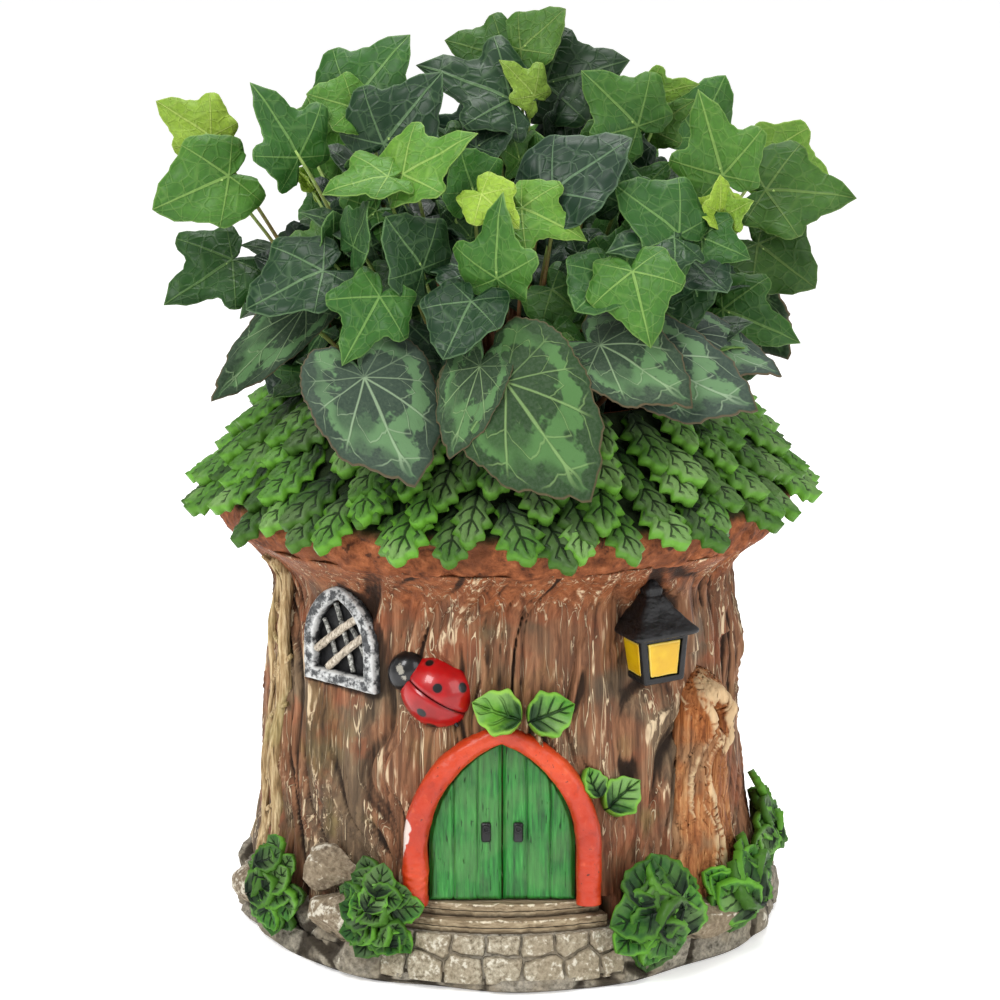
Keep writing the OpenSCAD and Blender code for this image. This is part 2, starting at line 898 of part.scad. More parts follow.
function stub_ring(q, grow) = concat([for (i = [0:stub_cols]) stub_point(q, i, grow)],
    [for (i = [stub_cols, 0]) let (p = stub_point(q, i, grow)) [p[0] * 0.93, p[1] * 0.93, p[2]]]);

module stub_shape(grow = 0) {
    n = stub_cols + 3;
    last = (len(stub_rows) - 1) * n;
    difference() {
        polyhedron(points = [for (q = stub_rows) each stub_ring(q, grow)],
            faces = concat([for (j = [0:len(stub_rows) - 2], i = [0:n - 1])
                let (a = j * n + i, b = j * n + (i + 1) % n)
                    each [[a, b, b + n], [a, b + n, a + n]]],
                [[for (i = [n - 1:-1:0]) i]], [[for (i = [0:n - 1]) last + i]]),
            convexity = 6);
        translate(polar(stub_az, trunk_r(stub_z) + 0.34 * stub_w, stub_z - 0.14 * stub_w))
            rotate([0, 0, stub_az])
                scale([0.8, 1.5, 1.3])
                    sphere(0.22 * stub_w - grow, $fn = 10);
    }
}

module branch_stub() {
    color("#9a5f38")
        difference() {
            stub_shape();
            trunk_blank(seat_gap);
            bank_blank(seat_gap);
        }
}

// Two woody strands that cross as they climb
module strand(az, swing, phase, r) {
    steps = 8;
    z0 = slab_t + bank_h + 2;
    z1 = neck_z + 12;
    for (i = [0:steps - 1])
        hull()
            for (k = [i, i + 1])
                let (z = z0 + (z1 - z0) * k / steps, a = az + swing * sin(phase + 90 * k))
                    translate(polar(a, trunk_r(z) + 1.2, z))
                        sphere(r, $fn = 6);
}

module vine_shape(grow = 0) {
    strand(-68, 2.4, 0, 0.56 * strand_d + grow);
    strand(-66, 2.4, 180, 0.46 * strand_d + grow);
}

module climbing_vine() {
    color("#b39a6b")
        difference() {
            vine_shape();
            trunk_blank(seat_gap);
            bank_blank(seat_gap);
        }
}

// A clump of moulded foliage: two rings of broad leaves fanned out over a small mound, w wide and h high,
// both as shares of foliage_h
leaflet = [[0, 0], [-0.4, 0.3], [-0.46, 0.6], [-0.3, 0.9], [0, 1.12], [0.3, 0.9], [0.46, 0.6], [0.4, 0.3]];
module clump(az, out, up, w, h, seed) {
    size = h * foliage_h;
    color(leaf_green)
        difference() {
            translate(polar(az, trunk_foot_r + out, rock_z + up))
                rotate([0, 0, az])
                    scale([w / h, 0.9, 1]) {
                        scale([0.32 * size, 0.24 * size, 0.38 * size])
                            sphere(1, $fn = 6);
                        for (i = [0:5])
                            frond(-110 + 44 * i, 28, 0.44 * size, seed + i);
                        for (i = [0:3])
                            frond(-90 + 60 * i, 58, 0.4 * size, seed + 10 + i);
                    }
            trunk_blank(seat_gap);
            bank_blank(seat_gap);
            ramp_body(seat_gap);
            steps_blank(seat_gap);
            doorway()
                linear_extrude(arch_t + seat_gap)
                    offset(delta = seat_gap)
                        arch_outline(arch_w);
            children();
        }
}

module frond(fan, lift, l, seed) {
    t = rands(-9, 9, 2, seed);
    rotate([0, fan + t[0], 0])
        rotate([lift + t[1], 0, 0])
            rotate([90, 0, 0])
                linear_extrude(0.16 * l)
                    polygon(leaflet * l);
}

module foliage_far_left() {
    clump(-64, 3, 6, 0.8, 1, 40) {
        vine_shape(seat_gap);
        rock_shape(far_left, seat_gap);
        rock_shape(left_top, seat_gap);
        rock_shape(left_low, seat_gap);
    }
}

module foliage_door_left() {
    clump(-28, 4, 2, 0.8, 1.06, 60) {
        rock_shape(left_top, seat_gap);
        rock_shape(left_low, seat_gap);
    }
}

module foliage_door_right() {
    clump(33, 4, 2, 0.94, 1.06, 80) {
        rock_shape(right_big, seat_gap);
        stub_shape(seat_gap);
    }
}

module foliage_right() {
    clump(58, 5, 3, 1, 0.84, 100) {
        rock_shape(right_big, seat_gap);
        stub_shape(seat_gap);
    }
}

module foliage_back_right() {
    clump(85, 2, 10, 0.9, 1, 120)
        stub_shape(seat_gap);
}

// Roof: stepped like shingles, each tier of leaves lies on its own step
leaf_gap = 0.3;
tilt = asin((leaf_t + leaf_gap) / tier_pitch);
step_slope = roof_slope - tilt;
brim_run = 15;
brim_edge = 6;
brim_rise = 10;
tiers_max = 4;
function tier_top(k) = [tier_r - k * tier_pitch * cos(roof_slope),
    eave_z + brim_h + brim_rise + k * tier_pitch * sin(roof_slope)];
rim = tier_top(tiers_max - 1);

module roof_shell() {
    run = [cos(step_slope), -sin(step_slope)];
    brim = tier_top(0) + brim_run * run;
    color("#8a5636")
        rotate_extrude($fn = 96)
            polygon(concat(
                [[cavity_r, eave_z], [eave_r, eave_z], [0.4 * eave_r + 0.6 * brim[0], 0.65 * eave_z + 0.35 * brim[1]],
                    [brim[0] - 1, brim[1] - brim_edge], brim, tier_top(0)],
                [for (k = [1:tiers_max - 1]) each [tier_top(k) + tier_pitch * cos(tilt) * run, tier_top(k)]],
                [[cavity_r, rim[1]]]));
}

// A point on tier k's step: across and along the leaf, h above the step
function on_tier(k, az, u, v, h) = let (
    r = tier_top(k)[0] + v * cos(step_slope),
    z = tier_top(k)[1] - v * sin(step_slope))
    polar(az + arc_deg(u, r), r + h * sin(step_slope), z + h * cos(step_slope));

function turned(p, a) = [p[0] * cos(a) - p[1] * sin(a), p[0] * sin(a) + p[1] * cos(a)];

// The points of one roof leaf, bent to the cone and slightly keeled
function roof_leaf(k, az, l, w, a) = let (o = [for (p = leaf_outline(l, w)) turned(p, a)]) concat(
    [for (p = o) on_tier(k, az, p[0], max(0.4, p[1]), leaf_t)],
    [for (v = leaf_rib) let (p = turned([0, v * l], a)) on_tier(k, az, p[0], p[1], 0.62 * leaf_t)],
    [for (p = o) on_tier(k, az, p[0], max(0.4, p[1]), 0.25 + p[0] * p[0] / (2 * tier_top(k)[0]))]);

module leaf_tier(k) {
    count = leaves_low - k * leaves_step;
    size = leaf_n * 2 + 3;
    color(leaf_green)
        if (k < tiers)
            polyhedron(
                points = [for (i = [0:count - 1])
                    let (s = rands(-1, 1, 3, 200 + 40 * k + i))
                        each roof_leaf(k, 360 * (i + k / 2) / count, leaf_l * (1 + 0.06 * s[0]),
                            leaf_w * (0.97 + 0.03 * s[1]), 4 * s[2])],
                faces = [for (i = [0:count - 1]) for (f = leaf_faces(i * size)) [f[2], f[1], f[0]]],
                convexity = 8);
}

module leaf_tier_1() {
    leaf_tier(0);
}

module leaf_tier_2() {
    leaf_tier(1);
}

module leaf_tier_3() {
    leaf_tier(2);
}

module leaf_tier_4() {
    leaf_tier(3);
}

// Planting
compost_z = rim[1] - compost_drop;
ball_foot_gap = 0.3;
ball_taper = 3;

module root_ball() {
    color("#3a2a1e")
        translate([0, 0, slab_t + ball_foot_gap])
            cylinder(r1 = cavity_r - ball_gap - ball_taper, r2 = cavity_r - ball_gap,
                h = compost_z - slab_t - ball_foot_gap);
}

// Ivy leaf, five lobes, its stalk at the origin and its tip along Y
function ivy_outline(l) = [[0, 0.03], [-0.3, -0.12], [-0.28, 0.14], [-0.52, 0.3], [-0.22, 0.5], [0, 1],
    [0.22, 0.5], [0.52, 0.3], [0.28, 0.14], [0.3, -0.12]] * l;

// Heart-shaped cyclamen leaf
function heart_outline(l) = [[0, 0.08], [-0.2, -0.1], [-0.42, 0], [-0.5, 0.3], [-0.34, 0.68], [0, 1],
    [0.34, 0.68], [0.5, 0.3], [0.42, 0], [0.2, -0.1]] * l;

// A blade folded along its midrib, point 0 at the stalk and point 5 at the tip
module blade(o, t, fold) {
    n = len(o);
    polyhedron(
        points = concat([for (p = o) [p[0], p[1], t / 2 + fold * abs(p[0])]],
            [for (p = o) [p[0], p[1], -t / 2 + fold * abs(p[0])]]),
        faces = concat(
            [[1, 2, 0], [2, 4, 0], [3, 4, 2], [4, 5, 0], [5, 6, 0], [6, 8, 0], [7, 8, 6], [8, 9, 0]],
            [for (f = [[1, 0, 2], [2, 0, 4], [3, 2, 4], [4, 0, 5], [5, 0, 6], [6, 0, 8], [7, 6, 8], [8, 0, 9]])
                [for (k = f) k + n]],
            [for (i = [0:n - 1]) each [[i, i + n, (i + 1) % n], [(i + 1) % n, i + n, (i + 1) % n + n]]]),
        convexity = 4);
}

// Sight line of somebody who looks at the door from a little above: across, up and toward them
sight_dip = 12.5;
sight_up = [0, sin(sight_dip), cos(sight_dip)];
sight_to = [0, -cos(sight_dip), sin(sight_dip)];
function unit(v) = v / norm(v);

// A leaf at foot p that heads a degrees from the right, with lean as its slope toward the viewer
module set_leaf(p, heading, lean) {
    y = unit(cos(heading) * [1, 0, 0] + sin(heading) * sight_up + lean * sight_to);
    face = sight_to + 0.45 * [0, 0, 1];
    z = unit(face - (face * y) * y);
    x = cross(y, z);
    multmatrix([[x[0], y[0], z[0], p[0]], [x[1], y[1], z[1], p[1]], [x[2], y[2], z[2], p[2]], [0, 0, 0, 1]])
        children();
}

module stem(points, r) {
    for (i = [0:len(points) - 2])
        hull()
            for (k = [i, i + 1])
                translate(points[k])
                    cylinder(h = 2 * r, r1 = r * (1.2 + 0.3 * (len(points) - 1 - k)), r2 = 0, $fn = 3);
}

// Ivy leaves as seen from the door side: foot x and y, height over the compost and length, all in hundredths
// of the planting's reach, then the heading and the lean toward the viewer
ivy_left = [[-111, -30, 110, 24, 146, 0.2], [-104, -45, 94, 33, 205, 0.3], [-76, -50, 105, 30, 114, 0.6],
    [-54, -30, 123, 33, 54, 0.2], [-57, -35, 120, 20, 163, 0.4], [-33, -75, 100, 30, 28, 0.3],
    [-43, -80, 98, 24, 187, 0.4], [-68, -70, 62, 34, 203, 0.3], [-105, -25, 60, 31, 216, 0.3],
    [-53, -72, 74, 22, 64, 0.9], [-30, -76, 67, 28, 124, 0.8], [-45, -88, 54, 29, 243, 0.4],
    [-42, -40, 109, 33, 51, 0.4]];
ivy_middle = [[-11, -72, 94, 22, 110, 0.9], [-2, -92, 66, 28, 95, 0.6], [-6, -84, 91, 20, 316, 0.4],
    [-12, -98, 54, 28, 243, 0.6], [0, -20, 123, 36, 156, 0.2], [-1, 0, 132, 24, 156, 0.2],
    [7, 0, 134, 22, 37, 0.3], [11, -15, 124, 18, 130, 0.5], [20, 5, 127, 34, 13, 0.2],
    [21, -70, 94, 37, 39, 0.2], [9, -78, 86, 24, 338, 0.4]];
ivy_right = [[49, -25, 114, 29, 135, 0.4], [62, -66, 78, 33, 140, 0.5], [81, -40, 98, 32, 108, 0.4],
    [104, -15, 87, 34, 359, 0.2], [101, -10, 64, 31, 321, 0.3], [86, -35, 43, 30, 338, 0.3],
    [47, -88, 63, 28, 283, 0.5], [37, -84, 62, 26, 228, 0.7], [60, -70, 75, 28, 190, 0.7],
    [75, -55, 73, 20, 335, 0.6], [70, -60, 65, 24, 313, 0.6], [58, -10, 111, 20, 30, 0.6]];

plant_unit = plant_reach / 100;
stem_root = 3;
function leaf_foot(q) = [q[0], q[1], q[2]] * plant_unit + [0, 0, compost_z];

module ivy_spray(rows, grow) {
    for (q = rows) {
        p = leaf_foot(q);
        l = q[3] * plant_unit;
        mid = [0.7 * p[0], 0.62 * p[1], compost_z + 0.62 * (p[2] - compost_z)];
        low = [0.45 * p[0], 0.42 * p[1], compost_z - stem_root];
        stem([low, mid, p], stem_r + grow);
        set_leaf(p, q[4], q[5])
            translate([0, -0.1 * l, 0])
                blade(ivy_outline(l), blade_t + 2 * grow, 0.16);
    }
}

module above_compost() {
    difference() {
        children();
        translate([0, 0, compost_z - 20])
            cylinder(r = 2 * eave_r, h = 20);
    }
}

module ivy_front() {
    color(ivy_green)
        above_compost()
            difference() {
                ivy_spray(concat(ivy_left, ivy_middle, ivy_right), 0);
                cyclamen_leaves(0.3);
            }
}

module ivy_back() {
    color(ivy_green)
        above_compost()
            difference() {
                rotate([0, 0, 176])
                    ivy_spray([for (q = concat(ivy_left, ivy_middle, ivy_right)) if (q[1] < -38) q], 0);
                ivy_spray(concat(ivy_left, ivy_middle, ivy_right), 0.3);
                cyclamen_leaves(0.3);
            }
}

// Cyclamen leaves that lie out over the roof, in the same terms
cyclamen_rows = [[-47, -104, 26, 46, 295, 0.35], [-9, -106, 31, 36, 252, 0.4],
    [4, -108, 25, 52, 306, 0.25], [38, -92, 38, 40, 333, 0.6], [54, -84, 32, 48, 334, 0.35],
    [74, -52, 36, 38, 331, 0.3], [-76, -56, 45, 50, 226, 0.1]];

module cyclamen_leaves(grow) {
    for (q = cyclamen_rows)
        cyclamen_leaf(q, grow);
    for (i = [1, 4, 6])
        rotate([0, 0, 168])
            cyclamen_leaf(cyclamen_rows[i], grow);
}

module cyclamen_leaf(q, grow) {
    p = leaf_foot(q);
    l = q[3] * plant_unit;
    mid = [0.72 * p[0], 0.7 * p[1], compost_z + 18 * plant_unit];
    stem([[0.5 * p[0], 0.5 * p[1], compost_z - stem_root], mid, p], stem_r + grow);
    set_leaf(p, q[4], q[5])
        translate([0, -0.1 * l, 0])
            blade(heart_outline(l), blade_t + 2 * grow, 0.1);
}

module cyclamen() {
    color("#35604a")
        above_compost()
            cyclamen_leaves(0);
}

base_slab();
rock_bank();
rock_left_low();
rock_left_top();
rock_far_left();
rock_right();
paving_stones();
doorstep_lower();
doorstep_upper();
trunk();
door_left();
door_right();
door_handle_left();
door_handle_right();
door_arch();
arch_leaf_left();
arch_leaf_right();
side_leaf_low();
side_leaf_high();
window_frame();
window_pane();
window_bars_back();
window_bars_front();
ladybird_body();
ladybird_wing_left();
ladybird_wing_right();
ladybird_head();
lantern_body();
lantern_panes();
lantern_roof();
lantern_cap();
branch_stub();
climbing_vine();
foliage_far_left();
foliage_door_left();
foliage_door_right();
foliage_right();
foliage_back_right();
roof_shell();
leaf_tier_1();
leaf_tier_2();
leaf_tier_3();
leaf_tier_4();
root_ball();
cyclamen();
ivy_front();
ivy_back();
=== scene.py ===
import math
from math import asin, atan, atan2, cos, degrees, exp, hypot, pi, radians, sin, sqrt
from random import Random

import bmesh
import bpy
from mathutils import Matrix, Vector, noise


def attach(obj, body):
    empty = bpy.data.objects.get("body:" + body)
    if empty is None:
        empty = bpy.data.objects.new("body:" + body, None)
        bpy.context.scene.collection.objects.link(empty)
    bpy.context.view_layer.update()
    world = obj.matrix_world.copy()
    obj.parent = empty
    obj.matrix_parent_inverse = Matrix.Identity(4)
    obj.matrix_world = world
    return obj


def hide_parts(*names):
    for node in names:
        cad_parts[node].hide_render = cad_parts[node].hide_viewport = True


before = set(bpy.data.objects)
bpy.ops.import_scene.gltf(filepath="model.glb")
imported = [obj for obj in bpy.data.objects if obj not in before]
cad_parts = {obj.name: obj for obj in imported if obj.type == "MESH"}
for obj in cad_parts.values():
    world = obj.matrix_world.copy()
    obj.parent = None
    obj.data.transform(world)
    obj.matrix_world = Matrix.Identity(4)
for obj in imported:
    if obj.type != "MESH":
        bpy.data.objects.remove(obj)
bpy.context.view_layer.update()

# Sizes in millimetres and angles in degrees, as the model has them; meshes are made in metres through MM
MM = 0.001
SLAB_T, BANK_H, PLINTH_OUT, BARK_DEPTH = 8.0, 13.0, 10.0, 5.0
FOOT_R, NECK_R, EAVE_R, CAVITY_R = 100.0, 90.0, 106.0, 75.0
NECK_Z, EAVE_Z, RIM_Z = 139.0, 158.0, 212.4
COMPOST_Z = RIM_Z - 10
BANK_Z = SLAB_T + BANK_H
BANK_LEAST = 8.0  # how wide the bank stays outside the bark
DOOR_W, DOOR_H, DOOR_T, DOOR_Z, DOOR_R = 55.0, 61.0, 3.6, 32.0, 89.17
DOOR_JAMB = DOOR_H / 3
ARCH_W, ARCH_T = 9.5, 11.5
STEP_BACK_R, STEP_UPPER_R, STEP_LOWER_R, RAMP_FOOT_R = 87.67, 96.77, 100.77, 104.9
RAMP_Z, STEP_RISE, RAMP_AZ = 22.0, 5.0, 25.0
LEAN = degrees(atan((FOOT_R - NECK_R) / (NECK_Z - SLAB_T)))
WINDOW_AZ, WINDOW_Z, WINDOW_SKEW = -40.74, 109.0, 3.0
WINDOW_W, WINDOW_H, WINDOW_BAND, WINDOW_T, WINDOW_SINK = 36.0, 38.0, 5.0, 5.6, 3.0
WINDOW_JAMB = 0.38 * WINDOW_H
BUG_AZ, BUG_Z, BUG_TURN, BUG_SINK = -15.53, 112.0, 149.0, 2.4
# Half the length and width of the wing cases, their height, and how far they sink and sit aside
WING_L, WING_W, WING_H, WING_DROP, WING_SHIFT = 14.3, 13.4, 12.6, 2.2, 0.6
LAMP_AZ, LAMP_Z, LAMP_R, LAMP_TURN, LAMP_TILT = 35.97, 114.6, 96.5, 24.0, 3.0
LAMP_W, LAMP_FOOT_W, LAMP_H = 20.0, 16.5, 19.0
STUB_AZ, STUB_Z, STUB_W = 52.84, 103.0, 26.0
# Steps under the roof leaves: their slope, in radians, their depth and the lowest corner; each next corner is
# 12 mm further up a slope of 52 degrees
STEP_SLOPE, STEP_DEPTH, TIER_R, TIER_Z = radians(39.0), 11.6, 102.0, 184.0
TIER_IN, TIER_UP = 12 * cos(radians(52)), 12 * sin(radians(52))
SIGHT_DOWN = 12.5  # how far the camera looks down


def polar(az, r, z):
    """A point at azimuth az from the door, to the right, in metres."""
    a = radians(az)
    return Vector((r * sin(a), -r * cos(a), z)) * MM


def clamp(t, low=0.0, high=1.0):
    return max(low, min(high, t))


def ease(t):
    t = clamp(t)
    return t * t * (3 - 2 * t)


def wave(x, y, z):
    return noise.noise(Vector((x, y, z)))


def wave_round(k, a, h):
    """The wave at height h on a circle of radius k."""
    return wave(k * cos(a), k * sin(a), h)


def wave_at(p, size, shift=0.0):
    return wave(p[0] / size, p[1] / size, p[2] / size + shift)


def apart(a, b):
    return abs((a - b + 180) % 360 - 180)


def along(points, t):
    """The point at share t of a line of points."""
    spans = [math.dist(a, b) for a, b in zip(points, points[1:])]
    way = clamp(t) * sum(spans)
    for a, b, span in zip(points, points[1:], spans):
        if way <= span or b is points[-1]:
            share = clamp(way / span)
            return tuple(p + (q - p) * share for p, q in zip(a, b))
        way -= span


def through(keys, t):
    """Eased value at t of a list of (place, value) pairs."""
    for (a, p), (b, q) in zip(keys, keys[1:]):
        if t <= b:
            return p + (q - p) * ease((t - a) / (b - a))
    return keys[-1][1]


def blunt(wave_value, power):
    return math.copysign(abs(wave_value) ** power, wave_value)


def about(axis, turn):
    return Matrix.Rotation(radians(turn), 4, axis)


def stand(az, r, z, lean=LEAN, turn=0.0):
    """Where things on the trunk sit: X to the right, Y up the trunk, Z outward, in millimetres."""
    return (Matrix.Translation(polar(az, r, z)) @ about("Z", az) @ about("X", 90 - lean) @ about("Z", turn)
            @ Matrix.Scale(MM, 4))


# Meshes

def sheet(cols, rows, place, marks=(), uv=None):
    """A grid bent by place(u, v), which gives a point and one value for each mark."""
    bm = bmesh.new()
    layers = [bm.verts.layers.float.new(mark) for mark in marks]
    bmesh.ops.create_grid(bm, x_segments=cols, y_segments=rows, size=0.5)
    flat = {}
    for v in bm.verts:
        flat[v] = (v.co.x + 0.5, v.co.y + 0.5)
    if uv:
        layer = bm.loops.layers.uv.new("UVMap")
        for face in bm.faces:
            for loop in face.loops:
                loop[layer].uv = uv(*flat[loop.vert])
    for v, (x, y) in flat.items():
        made = place(x, y)
        if layers:
            v.co = made[0]
            for layer, value in zip(layers, made[1:]):
                v[layer] = value
        else:
            v.co = made
    return bm


def close(bm, dist=2e-6):
    """Welds the seams and poles of a sheet that closes on itself and turns its faces outward."""
    bmesh.ops.remove_doubles(bm, verts=bm.verts, dist=dist)
    bmesh.ops.dissolve_degenerate(bm, edges=bm.edges, dist=1e-7)
    bmesh.ops.recalc_face_normals(bm, faces=bm.faces)
    return bm


def thicken(bm, drop, shrink=0.94, dist=1e-4):
    """Gives a sheet in its own plane an edge drop deep and a flat back."""
    bmesh.ops.remove_doubles(bm, verts=bm.verts, dist=dist)
    rim = [e for e in bm.edges if e.is_boundary]
    made = bmesh.ops.extrude_edge_only(bm, edges=rim)["geom"]
    back = [g for g in made if isinstance(g, bmesh.types.BMVert)]
    for v in back:
        v.co = Vector((v.co.x * shrink, v.co.y, drop))
    edges = [g for g in made if isinstance(g, bmesh.types.BMEdge) and g.is_boundary]
    bmesh.ops.contextual_create(bm, geom=edges)
    bmesh.ops.recalc_face_normals(bm, faces=bm.faces)
    return bm


def stamp(bm, blank, place, **marks):
    """Copies the blank's geometry and bends the copy by place."""
    for item in bmesh.ops.duplicate(bm, geom=blank)["geom"]:
        if isinstance(item, bmesh.types.BMVert):
            item.co = place(item.co)
            for mark, value in marks.items():
                item[bm.verts.layers.float[mark]] = value


def parts_of(bm):
    return bm.verts[:] + bm.edges[:] + bm.faces[:]


def move(bm, matrix):
    bmesh.ops.transform(bm, matrix=matrix, verts=bm.verts)
    return bm


def link(item):
    bpy.context.scene.collection.objects.link(item)


def wall(made, thickness, offset):
    solid = made.modifiers.new("wall", "SOLIDIFY")
    solid.thickness, solid.offset = thickness, offset


def piece(name, bm, finish, replaces=(), body="planter", smooth=True):
    mesh = bpy.data.meshes.new(name)
    bm.to_mesh(mesh)
    bm.free()
    mesh.polygons.foreach_set("use_smooth", [smooth] * len(mesh.polygons))
    mesh.materials.append(finish)
    made = bpy.data.objects.new(name, mesh)
    link(made)
    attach(made, body)
    if replaces:
        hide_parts(*replaces)
    return made


def bar(spot, around, steps, marks=(), loop=False):
    """A bar of any section: spot(t, a) is its skin at share t of its length and at angle a round it."""
    def place(u, v):
        if loop:
            return spot(v % 1.0, 2 * pi * u)
        t = clamp((v * (steps + 2) - 1) / steps)
        if 1e-6 < v < 1 - 1e-6:
            return spot(t, 2 * pi * u)
        ring = [spot(t, pi * k / 4) for k in range(8)]
        if marks:
            return (sum((r[0] for r in ring), Vector()) / 8, *ring[0][1:])
        return sum(ring, Vector()) / 8

    return close(sheet(around, steps if loop else steps + 2, place, marks))


def tube(line, radius, around, steps, marks=()):
    """A round bar along line(t), radius(t, a) thick in millimetres, with closed ends."""
    def spot(t, a):
        way = (line(min(1, t + 0.01)) - line(max(0, t - 0.01))).normalized()
        side = way.cross(Vector((0, 0, 1)) if abs(way.z) < 0.9 else Vector((0, 1, 0))).normalized()
        point = line(t) + (cos(a) * side + sin(a) * side.cross(way)) * radius(t, a) * MM
        return (point, *[t for _ in marks]) if marks else point

    return bar(spot, around, steps, marks)


def joined(bms):
    """One mesh out of several."""
    whole = bms[0]
    for other in bms[1:]:
        spare = bpy.data.meshes.new("spare")
        other.to_mesh(spare)
        other.free()
        whole.from_mesh(spare)
        bpy.data.meshes.remove(spare)
    return whole


# Finishes

def tint(r, g, b):
    """A colour given in display values 0 to 255."""
    return tuple(((c / 255 + 0.055) / 1.055) ** 2.4 if c > 10 else c / 255 / 12.92
                 for c in (r, g, b)) + (1.0,)


class Wire:
    """A value, colour or vector on its way through a finish's nodes."""

    def __init__(self, finish, socket):
        self.finish, self.socket = finish, socket

    def __add__(self, other):
        return self.finish.sum("ADD", self, other)

    def __radd__(self, other):
        return self.finish.sum("ADD", other, self)

    def __sub__(self, other):
        return self.finish.sum("SUBTRACT", self, other)

    def __rsub__(self, other):
        return self.finish.sum("SUBTRACT", other, self)

    def __mul__(self, other):
        return self.finish.sum("MULTIPLY", self, other)

    def __rmul__(self, other):
        return self.finish.sum("MULTIPLY", other, self)

    def __truediv__(self, other):
        return self.finish.sum("DIVIDE", self, other)

    def __pow__(self, other):
        return self.finish.sum("POWER", self, other)

    def __abs__(self):
        return self.finish.sum("ABSOLUTE", self, 0.0)


class Finish:
    """A paint made of nodes that end in a Principled shader; its colours are 0 to 255, as displayed."""

    def __init__(self, name, roughness, specular_ior_level, **fixed):
        self.material = bpy.data.materials.new(name)
        self.material.use_nodes = True
        self.tree = self.material.node_tree
        self.shader = self.tree.nodes["Principled BSDF"]
        for socket, value in dict(fixed, roughness=roughness, specular_ior_level=specular_ior_level).items():
            self.shader.inputs[socket.replace("_", " ").title().replace("Ior", "IOR")].default_value = value
        self.spot = self.object_point()

    def node(self, kind, settings=None, values=None, output=0):
        """Adds a node: its settings first, then its sockets' values or wires."""
        made = self.tree.nodes.new("ShaderNode" + kind)
        for key, value in (settings or {}).items():
            if key == "stops":
                while len(made.color_ramp.elements) < len(value):
                    made.color_ramp.elements.new(1.0)
                for stop, (place, colour) in zip(made.color_ramp.elements, value):
                    stop.position, stop.color = place, tint(*colour)
            else:
                setattr(made, key, value)
        for key, value in (values or {}).items():
            self.feed(made.inputs[key], value)
        return Wire(self, made.outputs[output])

    def feed(self, socket, value):
        if isinstance(value, Wire):
            self.tree.links.new(value.socket, socket)
        else:
            socket.default_value = tint(*value) if socket.type == "RGBA" and len(value) == 3 else value

    def sum(self, operation, a, b):
        return self.node("Math", {"operation": operation}, {0: a, 1: b})

    def object_point(self, stretch=(1, 1, 1), turn=(0, 0, 0), shift=(0, 0, 0)):
        spot = self.node("TexCoord", output="Object")
        return self.node("Mapping", None, {"Vector": spot, "Scale": stretch, "Rotation": turn,
                                           "Location": shift})

    def axes(self, vector):
        """The three numbers of a vector."""
        split = self.tree.nodes.new("ShaderNodeSeparateXYZ")
        self.feed(split.inputs[0], vector)
        return [Wire(self, out) for out in split.outputs]

    def uv(self):
        return self.node("TexCoord", output="UV")

    def mark(self, name):
        return self.node("Attribute", {"attribute_name": name}, output="Fac")

    def noise(self, scale, detail=3.0, rough=0.55, warp=0.0, on=None):
        return self.node("TexNoise", None, {"Scale": scale, "Vector": on or self.spot, "Detail": detail,
                                            "Roughness": rough, "Distortion": warp}, "Fac")

    def streaks(self, stretch, *grain, **place):
        """Noise drawn out by stretch."""
        return self.noise(1.0, *grain, on=self.object_point(stretch, **place))

    def cells(self, scale, vector, feature="F1"):
        return self.node("TexVoronoi", {"feature": feature}, {"Scale": scale, "Vector": vector}, "Distance")

    def past(self, spots):
        """How far a point is outside the nearest of some round spots; each is a middle and a radius."""
        near = None
        for middle, r in spots:
            away = self.node("VectorMath", {"operation": "DISTANCE"}, {0: self.spot, 1: middle}, "Value") - r
            near = self.sum("MINIMUM", near, away) if near else away
        return near

    def between(self, value, low, high, out_low=0.0, out_high=1.0):
        """Eases from out_low to out_high as value goes from low to high."""
        return self.node("MapRange", {"interpolation_type": "SMOOTHSTEP"},
                         {"Value": value, "From Min": low, "From Max": high, "To Min": out_low,
                          "To Max": out_high})

    def ramp(self, value, *stops):
        return self.node("ValToRGB", {"stops": stops}, {"Fac": value})

    def mix(self, share, a, b):
        made = self.tree.nodes.new("ShaderNodeMix")
        made.data_type = "RGBA"
        for key, value in ((0, share), (6, a), (7, b)):
            self.feed(made.inputs[key], value)
        return Wire(self, made.outputs[2])

    def coat(self, under, colour, value, low, high, most=1.0):
        """Lays colour over what is under it, more and more as value goes from low to high."""
        return self.mix(self.between(value, low, high, 0, most), under, colour)

    def done(self, paint, height=None, depth=0.0, roughness=None):
        """Feeds the shader: its colour, a bump depth metres high made from height, and its roughness."""
        self.feed(self.shader.inputs["Base Color"], paint)
        if height:
            bump = self.node("Bump", None, {"Height": height, "Distance": depth, "Strength": 1.0})
            self.feed(self.shader.inputs["Normal"], bump)
        if roughness:
            self.feed(self.shader.inputs["Roughness"], roughness)
        return self.material


